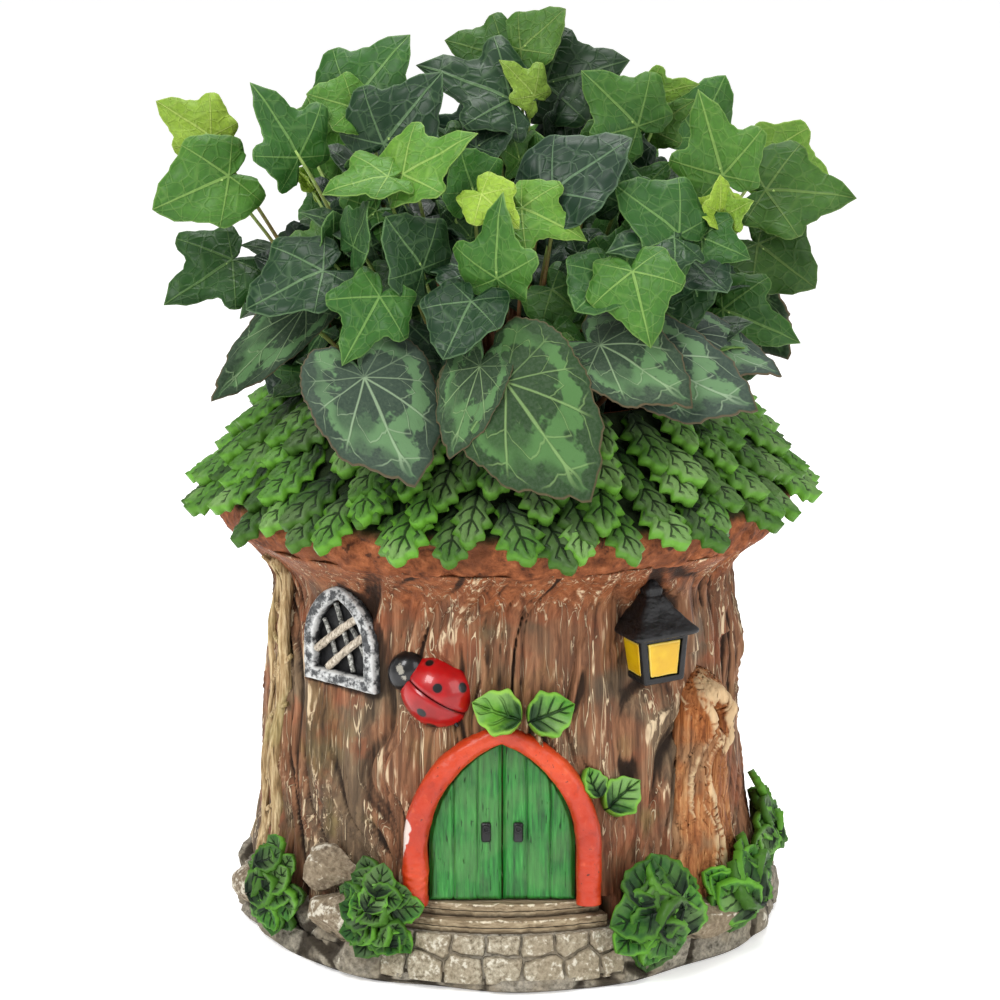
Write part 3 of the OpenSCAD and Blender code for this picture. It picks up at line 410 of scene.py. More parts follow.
def bark_finish():
    f = Finish("bark_paint", 0.7, 0.18)
    height = f.axes(f.spot)[2]
    relief = f.mark("relief")
    streaks = f.streaks((330, 330, 15), 5, 0.6, 0.5)
    fine = f.streaks((1500, 1500, 90), 3, 0.6)
    lines = abs(f.streaks((240, 240, 9), 2, 0.5, 0.7, turn=(0.05, 0.04, 0)) - 0.5)
    gaps = f.streaks((90, 90, 26), 3, 0.6, shift=(5, 5, 5))
    broad = f.noise(24, 3, 0.5)
    patches = f.noise(40, 4, 0.6, on=f.object_point(shift=(3, 1, 2)))
    wood = f.ramp(streaks, (0.25, (48, 31, 21)), (0.42, (94, 62, 42)), (0.55, (126, 86, 60)),
                  (0.72, (154, 114, 84)))
    grey = f.ramp(streaks, (0.25, (46, 38, 30)), (0.5, (92, 78, 60)), (0.75, (130, 112, 86)))
    red = f.ramp(streaks, (0.25, (72, 36, 22)), (0.5, (132, 74, 48)), (0.75, (162, 102, 72)))
    moss = f.ramp(streaks, (0.25, (48, 42, 24)), (0.5, (94, 82, 46)), (0.75, (132, 118, 72)))
    paint = f.coat(wood, grey, broad, 0.5, 0.62, 0.85)
    paint = f.coat(paint, red, patches, 0.52, 0.64, 0.6)
    low = f.between(height, 0.05, 0.12, 1, 0)
    paint = f.mix(f.between(f.noise(36, 3, on=f.object_point(shift=(8, 5, 1))), 0.56, 0.68, 0, 0.6)
                  * (0.35 + low * 0.65), paint, moss)
    paint = f.coat(paint, f.ramp(streaks, (0.25, (78, 40, 22)), (0.55, (138, 78, 44)), (0.8, (170, 108, 68))),
                   height + (patches - 0.5) * 0.03, 0.136, 0.152, 0.85)
    # Dark paint in the grooves and cracks, partly the bark's dark wash and partly painted shade.
    paint = f.coat(paint, (31, 22, 16), relief + (streaks - 0.5) * 0.35, 0.58, 0.18, 0.93)
    thin = f.between(lines, 0.02, 0.007) * f.between(gaps, 0.44, 0.54) * f.between(relief, 0.35, 0.55)
    paleness = f.between(relief + (streaks - 0.5) * 0.9, 1.0, 1.1) * f.between(gaps, 0.38, 0.52)
    brushed = f.sum("MAXIMUM", paleness, thin)
    paint = f.mix(brushed * 0.82, paint, (212, 190, 156))
    return f.done(paint, streaks * 0.6 + fine * 0.2 + thin * 0.4, 0.0018,
                  roughness=f.between(relief, 0.1, 0.9, 0.8, 0.55))


def trunk_r(z):
    return (NECK_R + (FOOT_R - NECK_R) * clamp((NECK_Z - z) / (NECK_Z - SLAB_T))
            + (EAVE_R - NECK_R) * clamp((z - NECK_Z) / (EAVE_Z - NECK_Z)) ** 2 + max(0, z - EAVE_Z))


# Where the roots stand, half their width in degrees, how far they stand out and how high they reach
ROOTS = (82, 107, 133, 160, 189, 217, 244, 268, 322)
ROOT_HALF, ROOT_OUT, ROOT_H = 10.0, 7.0, 62.0
# Heights of the bark's grooves, from the middle ones to the hair fine, of its crests and of its cracks
MIDDLE_H, FINE_H, HAIR_H, CREST_H, CRACK_H = 3.3, 1.5, 0.5, 1.2, 2.8


def edge_r(az):
    a = radians(az)
    return (FOOT_R + PLINTH_OUT + 2.5 * sin(a) - 4.5 * max(0, cos(a)) ** 2 + 1.3 * sin(7 * a)
            + 0.8 * cos(13 * a))


def groove(x, y, z):
    """Round ridges parted by sharp grooves, 0 to about 1."""
    return abs(wave(x, y, z)) ** 0.62 * 1.5


def ridges(az, z):
    """The big ridges and grooves that wander up the trunk, -0.75 to 0.25."""
    def swing(deg):
        return sin(radians(deg))

    return (0.6 * abs(swing(6.5 * az + 38 * swing(1.5 * z + 2 * az)))
            + 0.4 * abs(swing(10.5 * az + 50 * swing(2.1 * z + 3 * az) + 60)) - 0.75)


def bark(az, z):
    """Relief of the bark in millimetres, and its height from groove to ridge."""
    big = ridges(az, z)
    if z <= STUB_Z + 16:
        big = -0.3 + (big + 0.3) * clamp((apart(az, STUB_AZ) - 20) / 6)
    root = max(clamp(1 - apart(az + 0.1 * z, turn) / ROOT_HALF) ** 0.8 for turn in ROOTS)
    swell = ROOT_OUT * clamp(1 - (z - SLAB_T) / ROOT_H) ** 1.5 * root
    relief = BARK_DEPTH * big
    relief = max(relief, relief / 2 + swell)
    relief = min(relief, edge_r(az) - BANK_LEAST + max(0, z - BANK_Z) - trunk_r(z))
    a = radians(az)
    lean = 13 * wave_round(1.6, a, z / 52) + 3 * wave_round(5, a, z / 24)
    fan = 7 * sin(radians(4 * az)) * clamp((z - 105) / 55) ** 2
    a = radians(az + lean + fan + 6 * sin(radians(1.5 * z + 2 * az)))
    x, y = cos(a), sin(a)
    middle = groove(8 * x, 8 * y, z / 105)
    fine = groove(23 * x, 23 * y, z / 72)
    hair = groove(44 * x, 44 * y, z / 48)
    crest = clamp(1 - abs(wave_round(12, a, z / 70 + 5)) / 0.13)
    crest *= ease(0.55 + 3 * wave_round(4, a, z / 26 + 3))
    crack = clamp(1 - abs(wave_round(7, a, z / 85 + 9)) / 0.12)
    crack *= ease(0.4 + 3 * wave_round(3, a, z / 34 + 8))
    calm = 1 - 0.45 * ease((z - 146) / 12)
    bulge = 4.5 * exp(-((az - 80) / 13) ** 2 - ((z - 112) / 17) ** 2)
    relief += (MIDDLE_H * (middle - 0.5) + FINE_H * (fine - 0.5) + HAIR_H * (hair - 0.5) + CREST_H * crest
               - CRACK_H * crack) * calm + bulge
    # The tone drops in the grooves and cracks; the bark paint darkens it there, partly as painted shade.
    tone = clamp(0.52 + 0.5 * (big + 0.3) + 0.5 * (middle - 0.5) + 0.42 * (fine - 0.5) + 0.3 * (hair - 0.5)
                 + 0.46 * crest - 0.9 * crack)
    return relief, tone


def arch_half(w, h, jamb, y):
    """Half width at height y of a pointed arch on straight jambs."""
    if y < jamb:
        return w / 2
    rise = h - jamb
    off = (rise * rise - w * w / 4) / w
    return max(0.0, sqrt(max(0, (w / 2 + off) ** 2 - (y - jamb) ** 2)) - off)


def arch_line(w, h, jamb, s):
    """A point of the arch's outline: s 0 to 1 up the left jamb, to 2 the point, to 3 and 4 down the right."""
    if s > 2:
        x, y = arch_line(w, h, jamb, 4 - s)
        return -x, y
    if s < 1:
        return -w / 2, jamb * s
    rise = h - jamb
    off = (rise * rise - w * w / 4) / w
    big = w / 2 + off
    a = (s - 1) * asin(min(1, rise / big))
    return off - big * cos(a), jamb + big * sin(a)


DOOR = stand(0, DOOR_R, DOOR_Z)
WINDOW = stand(WINDOW_AZ, trunk_r(WINDOW_Z) - WINDOW_SINK, WINDOW_Z)
BUG = stand(BUG_AZ, trunk_r(BUG_Z) - BUG_SINK, BUG_Z, turn=BUG_TURN)
OUT_OF = {"door": DOOR.inverted(), "window": WINDOW.inverted(), "bug": BUG.inverted()}


def sink(point, place, key, outline, floor):
    """Drops the skin to the floor of a recess where outline(x, y) is positive, with a soft edge."""
    x, y, d = OUT_OF[key] @ point
    inside = outline(x, y)
    if inside <= 0 or d < floor:
        return point
    return place @ Vector((x, y, d + (floor - d) * ease(inside / 1.6)))


def trunk_surface(az, z):
    relief, tone = bark(az, z)
    r = trunk_r(z) + relief
    if apart(az, 0) < RAMP_AZ + 0.2 and z < DOOR_Z + 0.5:
        r = min(r, STEP_BACK_R - 0.6)
    point = polar(az, r, z)
    if apart(az, 0) < 30 and z < DOOR_Z + DOOR_H + 12:
        point = sink(point, DOOR, "door", lambda x, y: min(
            y + 4, arch_half(DOOR_W + 1.3 * ARCH_W, DOOR_H + 0.5 * ARCH_W, DOOR_JAMB, y) - abs(x)), -0.6)
    if apart(az, WINDOW_AZ) < 18 and 98 < z < 156:
        point = sink(point, WINDOW, "window", lambda x, y: min(
            y - 1, arch_half(WINDOW_W - 3, WINDOW_H - 2, WINDOW_JAMB, y) - abs(x)), -0.5)
        # Painted shade: the bark darkens in a band round the window, wider on its right side.
        x, y, _ = OUT_OF["window"] @ point
        half = arch_half(WINDOW_W, WINDOW_H, WINDOW_JAMB, clamp(y, 0, WINDOW_H))
        beside = hypot(max(0, abs(x) - half), max(0, -y, y - WINDOW_H))
        tone *= 0.3 + 0.7 * ease((beside - 0.8) / (3.2 if x > 0 else 1.6))
    if apart(az, BUG_AZ) < 14 and 92 < z < 132:
        point = sink(point, BUG, "bug", lambda x, y: 4 * (1 - hypot((x - 2) / 20, y / 15.5)), 1.0)
    return point, tone


def make_trunk():
    cols, rows, lining = 760, 120, 6

    def place(u, v):
        az, j = 360 * u - 180, round(v * (rows + lining))
        if j <= rows or j == rows + lining:
            return trunk_surface(az, SLAB_T + (EAVE_Z + 2.6 - SLAB_T) * (j % (rows + lining)) / rows)
        ring = [(CAVITY_R, EAVE_Z), (CAVITY_R, 108), (CAVITY_R, 58), (CAVITY_R, SLAB_T + 0.1), (86, SLAB_T)]
        return polar(az, *ring[j - rows - 1]), 0.3

    bm = close(sheet(cols, rows + lining, place, ("relief",)))
    piece("trunk_bark", bm, bark_finish(), ("trunk",))


# Broken branch with a hollow end and a root that spreads to the bank

def stub_finish():
    f = Finish("branch_paint", 0.7, 0.2)
    relief = f.mark("relief")
    streaks = f.streaks((500, 500, 30), 5, 0.6, 0.6)
    tone = f.noise(50, 3)
    paint = f.ramp(streaks, (0.28, (70, 38, 20)), (0.45, (134, 80, 44)), (0.58, (166, 112, 68)),
                   (0.74, (200, 158, 112)))
    paint = f.coat(paint, f.ramp(streaks, (0.3, (84, 62, 44)), (0.6, (150, 118, 86)), (0.8, (192, 164, 126))),
                   tone, 0.5, 0.66, 0.8)
    high = f.between(f.axes(f.spot)[2], 0.078, 0.098, 0, 0.6)
    paint = f.mix(high, paint, f.ramp(streaks, (0.3, (96, 46, 16)), (0.55, (160, 90, 40)),
                                      (0.8, (190, 130, 74))))
    # Dark paint in the grooves and the hollow end, partly dark wash and partly painted shade.
    paint = f.coat(paint, (28, 17, 11), relief, 0.44, 0.1, 0.94)
    paint = f.coat(paint, (206, 180, 140), relief, 0.82, 1.0, 0.8)
    return f.done(paint, streaks, 0.0014)


STUB_ROWS = ((1.09, 0.05, 0.0), (1.07, 0.2, 0.12), (1.02, 0.33, 0.3), (0.93, 0.4, 0.37), (0.84, 0.42, 0.35),
             (0.7, 0.42, 0.27), (0.5, 0.52, 0.23), (0.3, 0.64, 0.22), (0.12, 0.84, 0.23), (0.0, 0.98, 0.22))


def make_stub():
    def place(u, v):
        share, half, out = along(STUB_ROWS, v)
        a = pi * (u * 1.16 - 0.08)
        z = BANK_Z - 4 + share * (STUB_Z - BANK_Z + 4)
        s = -cos(a)
        twist = 0.7 * wave(0, 3.3, z / 30) + 0.25 * wave(2 * s, 1, z / 14)
        ridge = groove(5 * cos(a + twist), 5 * sin(a + twist) + 2, z / 85)
        fine = groove(17 * cos(a + twist), 17 * sin(a + twist), z / 50 + 9)
        x = s * half * STUB_W * (1 + 0.12 * (ridge - 0.5)) + 2.5 * (1 - share) * wave(0, 7, z / 40)
        round_off = max(0.0, sin(a)) ** (0.7 + 0.9 * clamp(1 - share))
        rough = 2.6 * (ridge - 0.5) + 1.3 * (fine - 0.5)
        stand_out = round_off * out * STUB_W + rough * clamp(round_off * 2) - 1.2
        hole_x, hole_y = (x - 1.5 + 0.25 * (z - 94)) / 3.6, (z - 94 + 0.3 * x) / 7.0
        away = hypot(hole_x, hole_y)
        hole = ease(1.25 - away)
        rim = exp(-((away - 1.55) / 0.42) ** 2) * (0.4 + 0.6 * ease(0.7 + 0.5 * (hole_x + hole_y)))
        stand_out += 3.4 * rim - 9 * hole
        # The tone drops in the grooves and most in the hollow end, for painted shade there.
        tone = clamp(0.12 + 0.45 * ridge + 0.45 * fine + 0.5 * rim - 1.7 * hole)
        az = STUB_AZ + degrees(x / NECK_R)
        return polar(az, trunk_r(z) + stand_out, z), tone

    bm = sheet(110, 130, place, ("relief",))
    bmesh.ops.recalc_face_normals(bm, faces=bm.faces)
    made = piece("branch_root", bm, stub_finish(), ("branch_stub",))
    wall(made, 0.002, -1)


# Dried climbing stems with a lattice of thin twigs

def vine_finish():
    f = Finish("vine_paint", 0.75, 0.2)
    streaks = f.streaks((900, 900, 70), 4, 0.6)
    paint = f.ramp(streaks, (0.28, (84, 66, 44)), (0.46, (150, 124, 86)), (0.66, (206, 184, 144)))
    paint = f.coat(paint, (140, 130, 80), f.noise(55), 0.5, 0.66, 0.5)
    return f.done(paint, streaks, 0.0009)


def make_vine():
    chance = Random(11)
    strands = [(-64, 0.8, 0, 2.9), (-71, 1.0, 190, 2.4), (-67.5, 2.6, 80, 1.1), (-68, 2.0, 300, 0.9)]
    made = []
    for az, swing, phase, r in strands:
        def line(t):
            z = BANK_Z + (NECK_Z + 12 - BANK_Z) * t
            turn = az + swing * sin(radians(phase + 620 * t))
            return polar(turn, trunk_r(z) + 1.6 + 1.2 * cos(radians(phase * 2 + 900 * t)), z)

        made.append(tube(line, lambda t, a: r * (1.15 - 0.4 * t + 0.2 * wave_round(3, a, 22 * t)), 10, 60))
    for i in range(9):
        z = BANK_Z + 12 + i * 12.4
        start, end = chance.uniform(-73, -68), chance.uniform(-66, -60)
        rise = chance.uniform(-6, 20)

        def twig(t):
            h = z + rise * t
            return polar(start + (end - start) * t, trunk_r(h) + 1.4 + 1.4 * sin(pi * t), h)

        made.append(tube(twig, lambda t, a: 1.0, 7, 8))
    piece("climbing_stems", joined(made), vine_finish(), ("climbing_vine",))


# Eave and stepped roof under the leaves

def eave_finish():
    f = Finish("eave_paint", 0.8, 0.18)
    across, deep_in, height = f.axes(f.spot)
    outside = f.between((across * across + deep_in * deep_in) ** 0.5, 0.0755, 0.077)
    grain = f.noise(230, 5, 0.65)
    paint = f.ramp(grain, (0.3, (58, 30, 17)), (0.48, (116, 64, 36)), (0.62, (144, 84, 50)),
                   (0.78, (170, 112, 76)))
    paint = f.coat(paint, (104, 60, 38), f.noise(48), 0.5, 0.68, 0.7)
    paint = f.coat(paint, (40, 22, 14), f.noise(150, 3, on=f.object_point(shift=(2, 2, 2))), 0.62, 0.7, 0.8)
    # Painted shade: above the lip, where the shell shows between the roof leaves, it turns near black green.
    paint = f.mix(f.between(height, 0.1715, 0.177) * outside, paint, f.mix(grain, (12, 20, 8), (34, 50, 20)))
    return f.done(paint, grain, 0.0016)


def make_eave():
    outline = [(CAVITY_R, RIM_Z), (CAVITY_R, 185), (CAVITY_R, EAVE_Z), (98, EAVE_Z + 0.3),
               (105, EAVE_Z + 1.0), (108.4, EAVE_Z + 2.6), (110.8, 164), (113, 169.5), (113.7, 174.3),
               (TIER_R, TIER_Z)]
    for k in (1, 2, 3):
        r, z = TIER_R - k * TIER_IN, TIER_Z + k * TIER_UP
        outline += [(r + STEP_DEPTH * cos(STEP_SLOPE), z - STEP_DEPTH * sin(STEP_SLOPE)), (r, z)]
    outline.append((CAVITY_R, RIM_Z))

    def place(u, v):
        az = 360 * u
        r, z = along(outline, v)
        a = radians(az)
        if r > 90 and z < 176:
            x, y = cos(a), sin(a)
            r += 2.2 * groove(6 * x, 6 * y, z / 16) + 1.3 * groove(22 * x, 22 * y, z / 9) - 1.9
            z += 2.4 * wave(7 * x, 7 * y, 7) * clamp((r - 100) / 6) * clamp((172 - z) / 8)
        return polar(az, r, z)

    piece("eave", close(sheet(300, 110, place)), eave_finish(), ("roof_shell",))


# Cast leaves: a serrated blade with puffed panels between its veins

def cast_leaf_finish(name, bright, base, deep, veins=4.6, vein_share=0.8):
    f = Finish(name, 0.5, 0.22)
    across, length, _ = f.axes(f.uv())
    side = abs(across * 2 - 1)
    shade = f.mark("shade")
    way = length * veins - side * 1.25 + 40.25
    ribs = abs(way - f.sum("ROUND", way, 0.0))
    vein = f.between(ribs, 0.14, 0.03) * f.between(side, 0.86, 0.5) * f.between(length, 0.88, 0.76)
    rib = f.between(side, 0.1, 0.02) * f.between(length, 0.95, 0.8)
    grain = f.noise(300, 4, 0.6)
    cloud = f.noise(45, 2, 0.5)
    paint = f.coat(base, f.mix(0.4, base, bright), grain, 0.3, 0.7)
    paint = f.coat(paint, (128, 158, 98), cloud, 0.42, 0.62, 0.55)
    # Painted shade: each leaf darkens toward its stalk, where the leaf above overlaps it.
    paint = f.coat(paint, deep, length + (grain - 0.5) * 0.3, 0.6, 0.1, 0.92)
    rim = f.between(side + (grain - 0.5) * 0.3, 0.66, 0.98) + f.between(length, 0.86, 1.0, 0, 0.6)
    paint = f.coat(paint, bright, rim, 0.1, 1.0, 0.8)
    lines = f.sum("MAXIMUM", vein * vein_share, rib * vein_share)
    paint = f.mix(lines, paint, deep)
    paint = f.mix(f.between(shade, 0.0, 1.0, 0.7, 0.0), paint, deep)
    return f.done(paint, 0.5 - f.sum("MAXIMUM", vein, rib) + grain * 0.15, 0.0009,
                  roughness=f.between(grain, 0.3, 0.7, 0.6, 0.42))


def leaf_width(t, teeth, sharp):
    body = max(0.0, sin(pi * clamp(t) ** 0.84)) ** 0.72 * 0.5
    place = (t * teeth + 0.35) % 1.0
    tooth = (place / 0.8) ** 0.8 if place < 0.8 else ((1 - place) / 0.2) ** 0.7
    return body * (1 - sharp + sharp * tooth) * (1 if t < 0.999 else 0)


def cast_leaf(teeth=4.6, rows=23, cols=8, sharp=0.54, thick=0.1):
    """A leaf one unit long that lies on Z = 0, its stalk at the origin and its tip along Y."""
    def place(u, v):
        s = 2 * u - 1
        half = leaf_width(v * 0.999 if v < 1 else 1, teeth, sharp) + (0.035 if v == 0 else 0)
        panel = abs(sin(pi * (teeth * v - 1.25 * abs(s) + 0.25))) ** 0.6
        h = thick * (1.0 - 0.4 * s ** 4) + 0.055 * panel * (1 - s ** 4) - 0.055 * exp(-(s / 0.16) ** 2)
        h += 0.05 * v ** 3 - 0.03 * (1 - v)
        y = v + 0.1 * abs(s) ** 1.5 * sin(pi * v)
        return Vector((s * half, y, h)), 1.0

    return thicken(sheet(cols, rows, place, ("shade",), lambda u, v: (u, v)), 0.0)


def roof_spot(k, az, u, v, h):
    """A point over tier k of the roof: u across and v down the slope from az, h above it."""
    r = TIER_R - k * TIER_IN + v * cos(STEP_SLOPE)
    z = TIER_Z + k * TIER_UP - v * sin(STEP_SLOPE)
    return polar(az + degrees(u / r), r + h * sin(STEP_SLOPE), z + h * cos(STEP_SLOPE))


def make_roof_leaves():
    finish = cast_leaf_finish("roof_leaf_paint", (94, 151, 40), (71, 115, 45), (7, 22, 9))
    chance = Random(5)
    for k, count in enumerate((48, 44, 40, 36)):
        bm = cast_leaf()
        blank = parts_of(bm)
        for i in range(count):
            under = i % 2
            az = 360 * (i + 0.5 * (k % 2)) / count + chance.uniform(-1.8, 1.8)
            length, width = chance.uniform(26, 32), chance.uniform(15.5, 20.5)
            turn, lift = radians(chance.uniform(-19, 19)), chance.uniform(1.2, 2.6) - 1.9 * under
            start = chance.uniform(-3.5, 1.0) + (1.5 if under else -1.5)

            def place(p):
                x, y = p.x * width, p.y * length
                u = x * cos(turn) + y * sin(turn)
                v = -x * sin(turn) + y * cos(turn) + start
                sag = u * u / 260 - 0.03 * x * x * p.y
                return roof_spot(k, az, u, v, p.z * 27 + lift + 0.07 * y - 1.6 * p.y ** 4 + sag)

            stamp(bm, blank, place, shade=(0.05 if under else 0.5) + 0.5 * chance.random())
        bmesh.ops.delete(bm, geom=blank, context="VERTS")
        piece("roof_leaves_%d" % (k + 1), bm, finish, ("leaf_tier_%d" % (k + 1),))


# Plinth: rim, rock bank and ramp in one ring

def rock_finish(name, pale, base, deep, grain_size=420):
    f = Finish(name, 0.85, 0.15)
    crest = f.mark("relief")
    grain = f.noise(grain_size, 5, 0.65)
    broad = f.noise(55, 4, 0.55)
    paint = f.ramp(grain, (0.3, deep), (0.46, base), (0.7, pale))
    paint = f.coat(paint, f.mix(grain, f.mix(0.5, base, deep), (152, 136, 110)), broad, 0.42, 0.62, 0.6)
    # Dark where the relief mark is low: the cracks between stones, and painted shade at the plinth's foot and
    # under the loose rocks.
    paint = f.coat(paint, (46, 39, 31), crest, 0.34, 0.04, 0.9)
    brushed = f.between(crest + (grain - 0.5) * 0.9, 0.84, 1.02)
    paint = f.mix(brushed * 0.8, paint, (214, 208, 192))
    return f.done(paint, grain * 0.7 + broad * 0.3, 0.0015)


def stones(p, size):
    """Relief in millimetres and height, 0 to 1, of big chipped stones with sharp cracks between them."""
    away, spots = noise.voronoi(Vector(p) / size + Vector((3.3, 1.7, 0.4)))
    crack = clamp((away[1] - away[0]) / 0.15)
    seed = spots[0]
    tilt = Vector((wave(*(seed * 3.1)), wave(*(seed * 2.3 + Vector((4, 4, 4)))), wave(*(seed * 1.7))))
    facet = (Vector(p) / size + Vector((3.3, 1.7, 0.4)) - seed).dot(tilt) * 11
    small, _ = noise.voronoi(Vector(p) / size * 2.6)
    step = 1.2 * (ease((small[1] - small[0]) / 0.12) - 1) * ease(0.5 + 4 * wave_at(p, 20))
    chip = wave_at(p, 9) * 1.6 + wave_at(p, 3.5) * 0.6
    edge = clamp(1 - abs(crack - 0.75) / 0.25) * 0.45
    relief = 2.6 * (ease(crack) - 0.8) + clamp(facet, -2, 2) + chip * 0.7 + step
    return relief, clamp(0.6 * ease(crack) + edge + 0.18 * chip + 0.2 * step)


def make_plinth():
    def place(u, v):
        az = 360 * u
        edge = edge_r(az)
        skin = trunk_r(BANK_Z) + bark(az, BANK_Z)[0] - 1.5
        side = [(6, 0), (edge - 3, 0), (edge, 2.5), (edge, 8), (edge - 1.4, 14), (edge - 5.5, 19.6),
                (skin, BANK_Z + 0.6), (min(skin, 95), SLAB_T), (6, SLAB_T), (6, 0)]
        ramp = [(6, 0), (edge - 3, 0), (edge, 2.0), (edge, 5), (RAMP_FOOT_R, SLAB_T), (STEP_LOWER_R, RAMP_Z),
                (STEP_BACK_R - 0.4, RAMP_Z), (STEP_BACK_R - 0.6, SLAB_T), (6, SLAB_T), (6, 0)]
        share = v * (len(side) - 1)
        k = min(int(share), len(side) - 2)
        t = share - k
        front = ease((RAMP_AZ + 1.0 - apart(az, 0)) / 1.2)
        r, z = [sum(w * (p[k][i] + (p[k + 1][i] - p[k][i]) * t)
                    for p, w in ((side, 1 - front), (ramp, front))) for i in (0, 1)]
        if not 0.6 < share < 6.6:
            return polar(az, r, z), 0.3
        a = radians(az)
        relief, tone = stones((r * sin(a), -r * cos(a), z * 1.1), 31)
        free = (1 - front) if z > 6 else 1
        relief, tone = relief * free * ease(z / 4), tone * free + 0.3 * (1 - free)
        # Painted shade: the stone edge darkens towards its foot, under the plinth's lip.
        if z < 6:
            tone *= 0.3 + 0.116 * z
        return polar(az, r + relief * 0.8, z + (relief * 0.7 if share > 3.6 else 0)), tone

    bm = close(sheet(520, 9 * 10, place, ("relief",)), 1e-5)
    piece("plinth", bm, rock_finish("rock_paint", (168, 160, 144), (122, 116, 104), (70, 65, 56)),
          ("base_slab", "rock_bank"))


def make_cobbles():
    chance = Random(9)
    middles = []
    for y, first, count, pitch in ((4.3, -41, 7, 13.6), (13.2, -43, 7, 14.4)):
        for i in range(count):
            x = first + pitch * i + chance.uniform(-1.8, 1.8)
            middles.append((x, y + chance.uniform(-1.1, 1.1), chance.uniform(0, 90)))
    run = hypot(RAMP_FOOT_R - STEP_LOWER_R, SLAB_T - RAMP_Z)
    down = Vector((RAMP_FOOT_R - STEP_LOWER_R, SLAB_T - RAMP_Z)) / run
    out = Vector((-down.y, down.x))

    def place(u, v):
        x, y = 93 * (u - 0.5), 0.4 + 18.6 * v
        bent_x, bent_y = x + 0.7 * wave(x / 4, y / 4, 1), y + 0.7 * wave(x / 4, y / 4, 8)
        near = sorted((hypot((bent_x - cx) / 1.12, bent_y - cy), seed) for cx, cy, seed in middles)
        crack = ease((near[1][0] - near[0][0] - 0.5) / 1.5)
        seed = near[0][1]
        chip = 0.5 * wave(x / 4, y / 4, seed) + 0.25 * wave(x / 1.6, y / 1.6, seed)
        side = ease(min(u, 1 - u) / 0.012) * ease(min(v, 1 - v) / 0.03)
        h = -0.6 + (2.0 * crack ** 0.7 + chip * crack + 0.4) * side
        paleness = clamp(0.08 + 0.72 * crack + 0.5 * chip + 0.25 * clamp(1 - abs(crack - 0.7) / 0.3))
        return Vector((x, y, h)), paleness

    bm = sheet(250, 64, place, ("relief",))
    thicken(bm, -1.4, 1.0, 1e-3)
    for v in bm.verts:
        x, y, h = v.co
        r, z = Vector((STEP_LOWER_R, RAMP_Z)) + down * min(y, run) + out * h
        if y > run:
            bend = (y - run) / 4
            r, z = r + 0.8 * sin(bend) - 0.5 * bend * bend, z - (y - run)
        v.co = polar(degrees(x / 103), r, z)
    piece("cobbles", bm, rock_finish("cobble_paint", (196, 188, 168), (150, 140, 120), (88, 78, 62), 620),
          ("paving_stones",))


def make_steps():
    f = Finish("step_paint", 0.85, 0.15)
    crest = f.mark("relief")
    grain = f.streaks((110, 700, 900), 5, 0.65)
    speck = f.noise(500, 3, 0.6)
    paint = f.ramp(grain, (0.3, (84, 70, 54)), (0.45, (130, 114, 90)), (0.58, (154, 138, 112)),
                   (0.75, (180, 166, 140)))
    # Dark where the relief mark is low: cracks, and painted shade on each step's underside.
    paint = f.coat(paint, (44, 36, 28), crest, 0.42, 0.1, 0.85)
    paint = f.coat(paint, (222, 212, 188), crest + (speck - 0.5) * 0.8, 0.86, 1.04, 0.8)
    finish = f.done(paint, grain * 0.6 + speck * 0.4, 0.0009)
    for name, node, half, back, front, low in (
            ("step_lower", "doorstep_lower", RAMP_AZ - 2, STEP_BACK_R, STEP_LOWER_R, RAMP_Z),
            ("step_upper", "doorstep_upper", RAMP_AZ - 3, STEP_BACK_R, STEP_UPPER_R, RAMP_Z + STEP_RISE)):
        def spot(t, a):
            az = half * (2 * t - 1)
            x, y = blunt(cos(a), 0.14), blunt(sin(a), 0.14)
            face = clamp((x - 0.6) / 0.4)
            top = clamp((y - 0.2) / 0.8)
            chip = wave(az / 2.3, low, 1) * 0.7 + wave(az / 0.9, low, 4) * 0.4
            peak = 1.3 * max(0, 1 - abs(az + 0.6) / 1.8)
            r = (back + front) / 2 + x * (front - back) / 2 + face * (chip * 0.7 + peak * 0.5 * top)
            z = low + STEP_RISE / 2 * (1 + y) - (0.3 if y < 0 else 0)
            z += top * (face * (chip * 0.3 + peak) - 0.25 * (1 - face))
            paleness = 0.5 + 0.5 * face * top + 0.2 * chip
            # The underside keeps a low mark, painted shade under the step.
            return polar(az, r, z), clamp(paleness if y > -0.5 else 0.14)

        piece(name, bar(spot, 48, 150, ("relief",)), finish, (node,))


# Loose rocks: blunt stones cut by planes

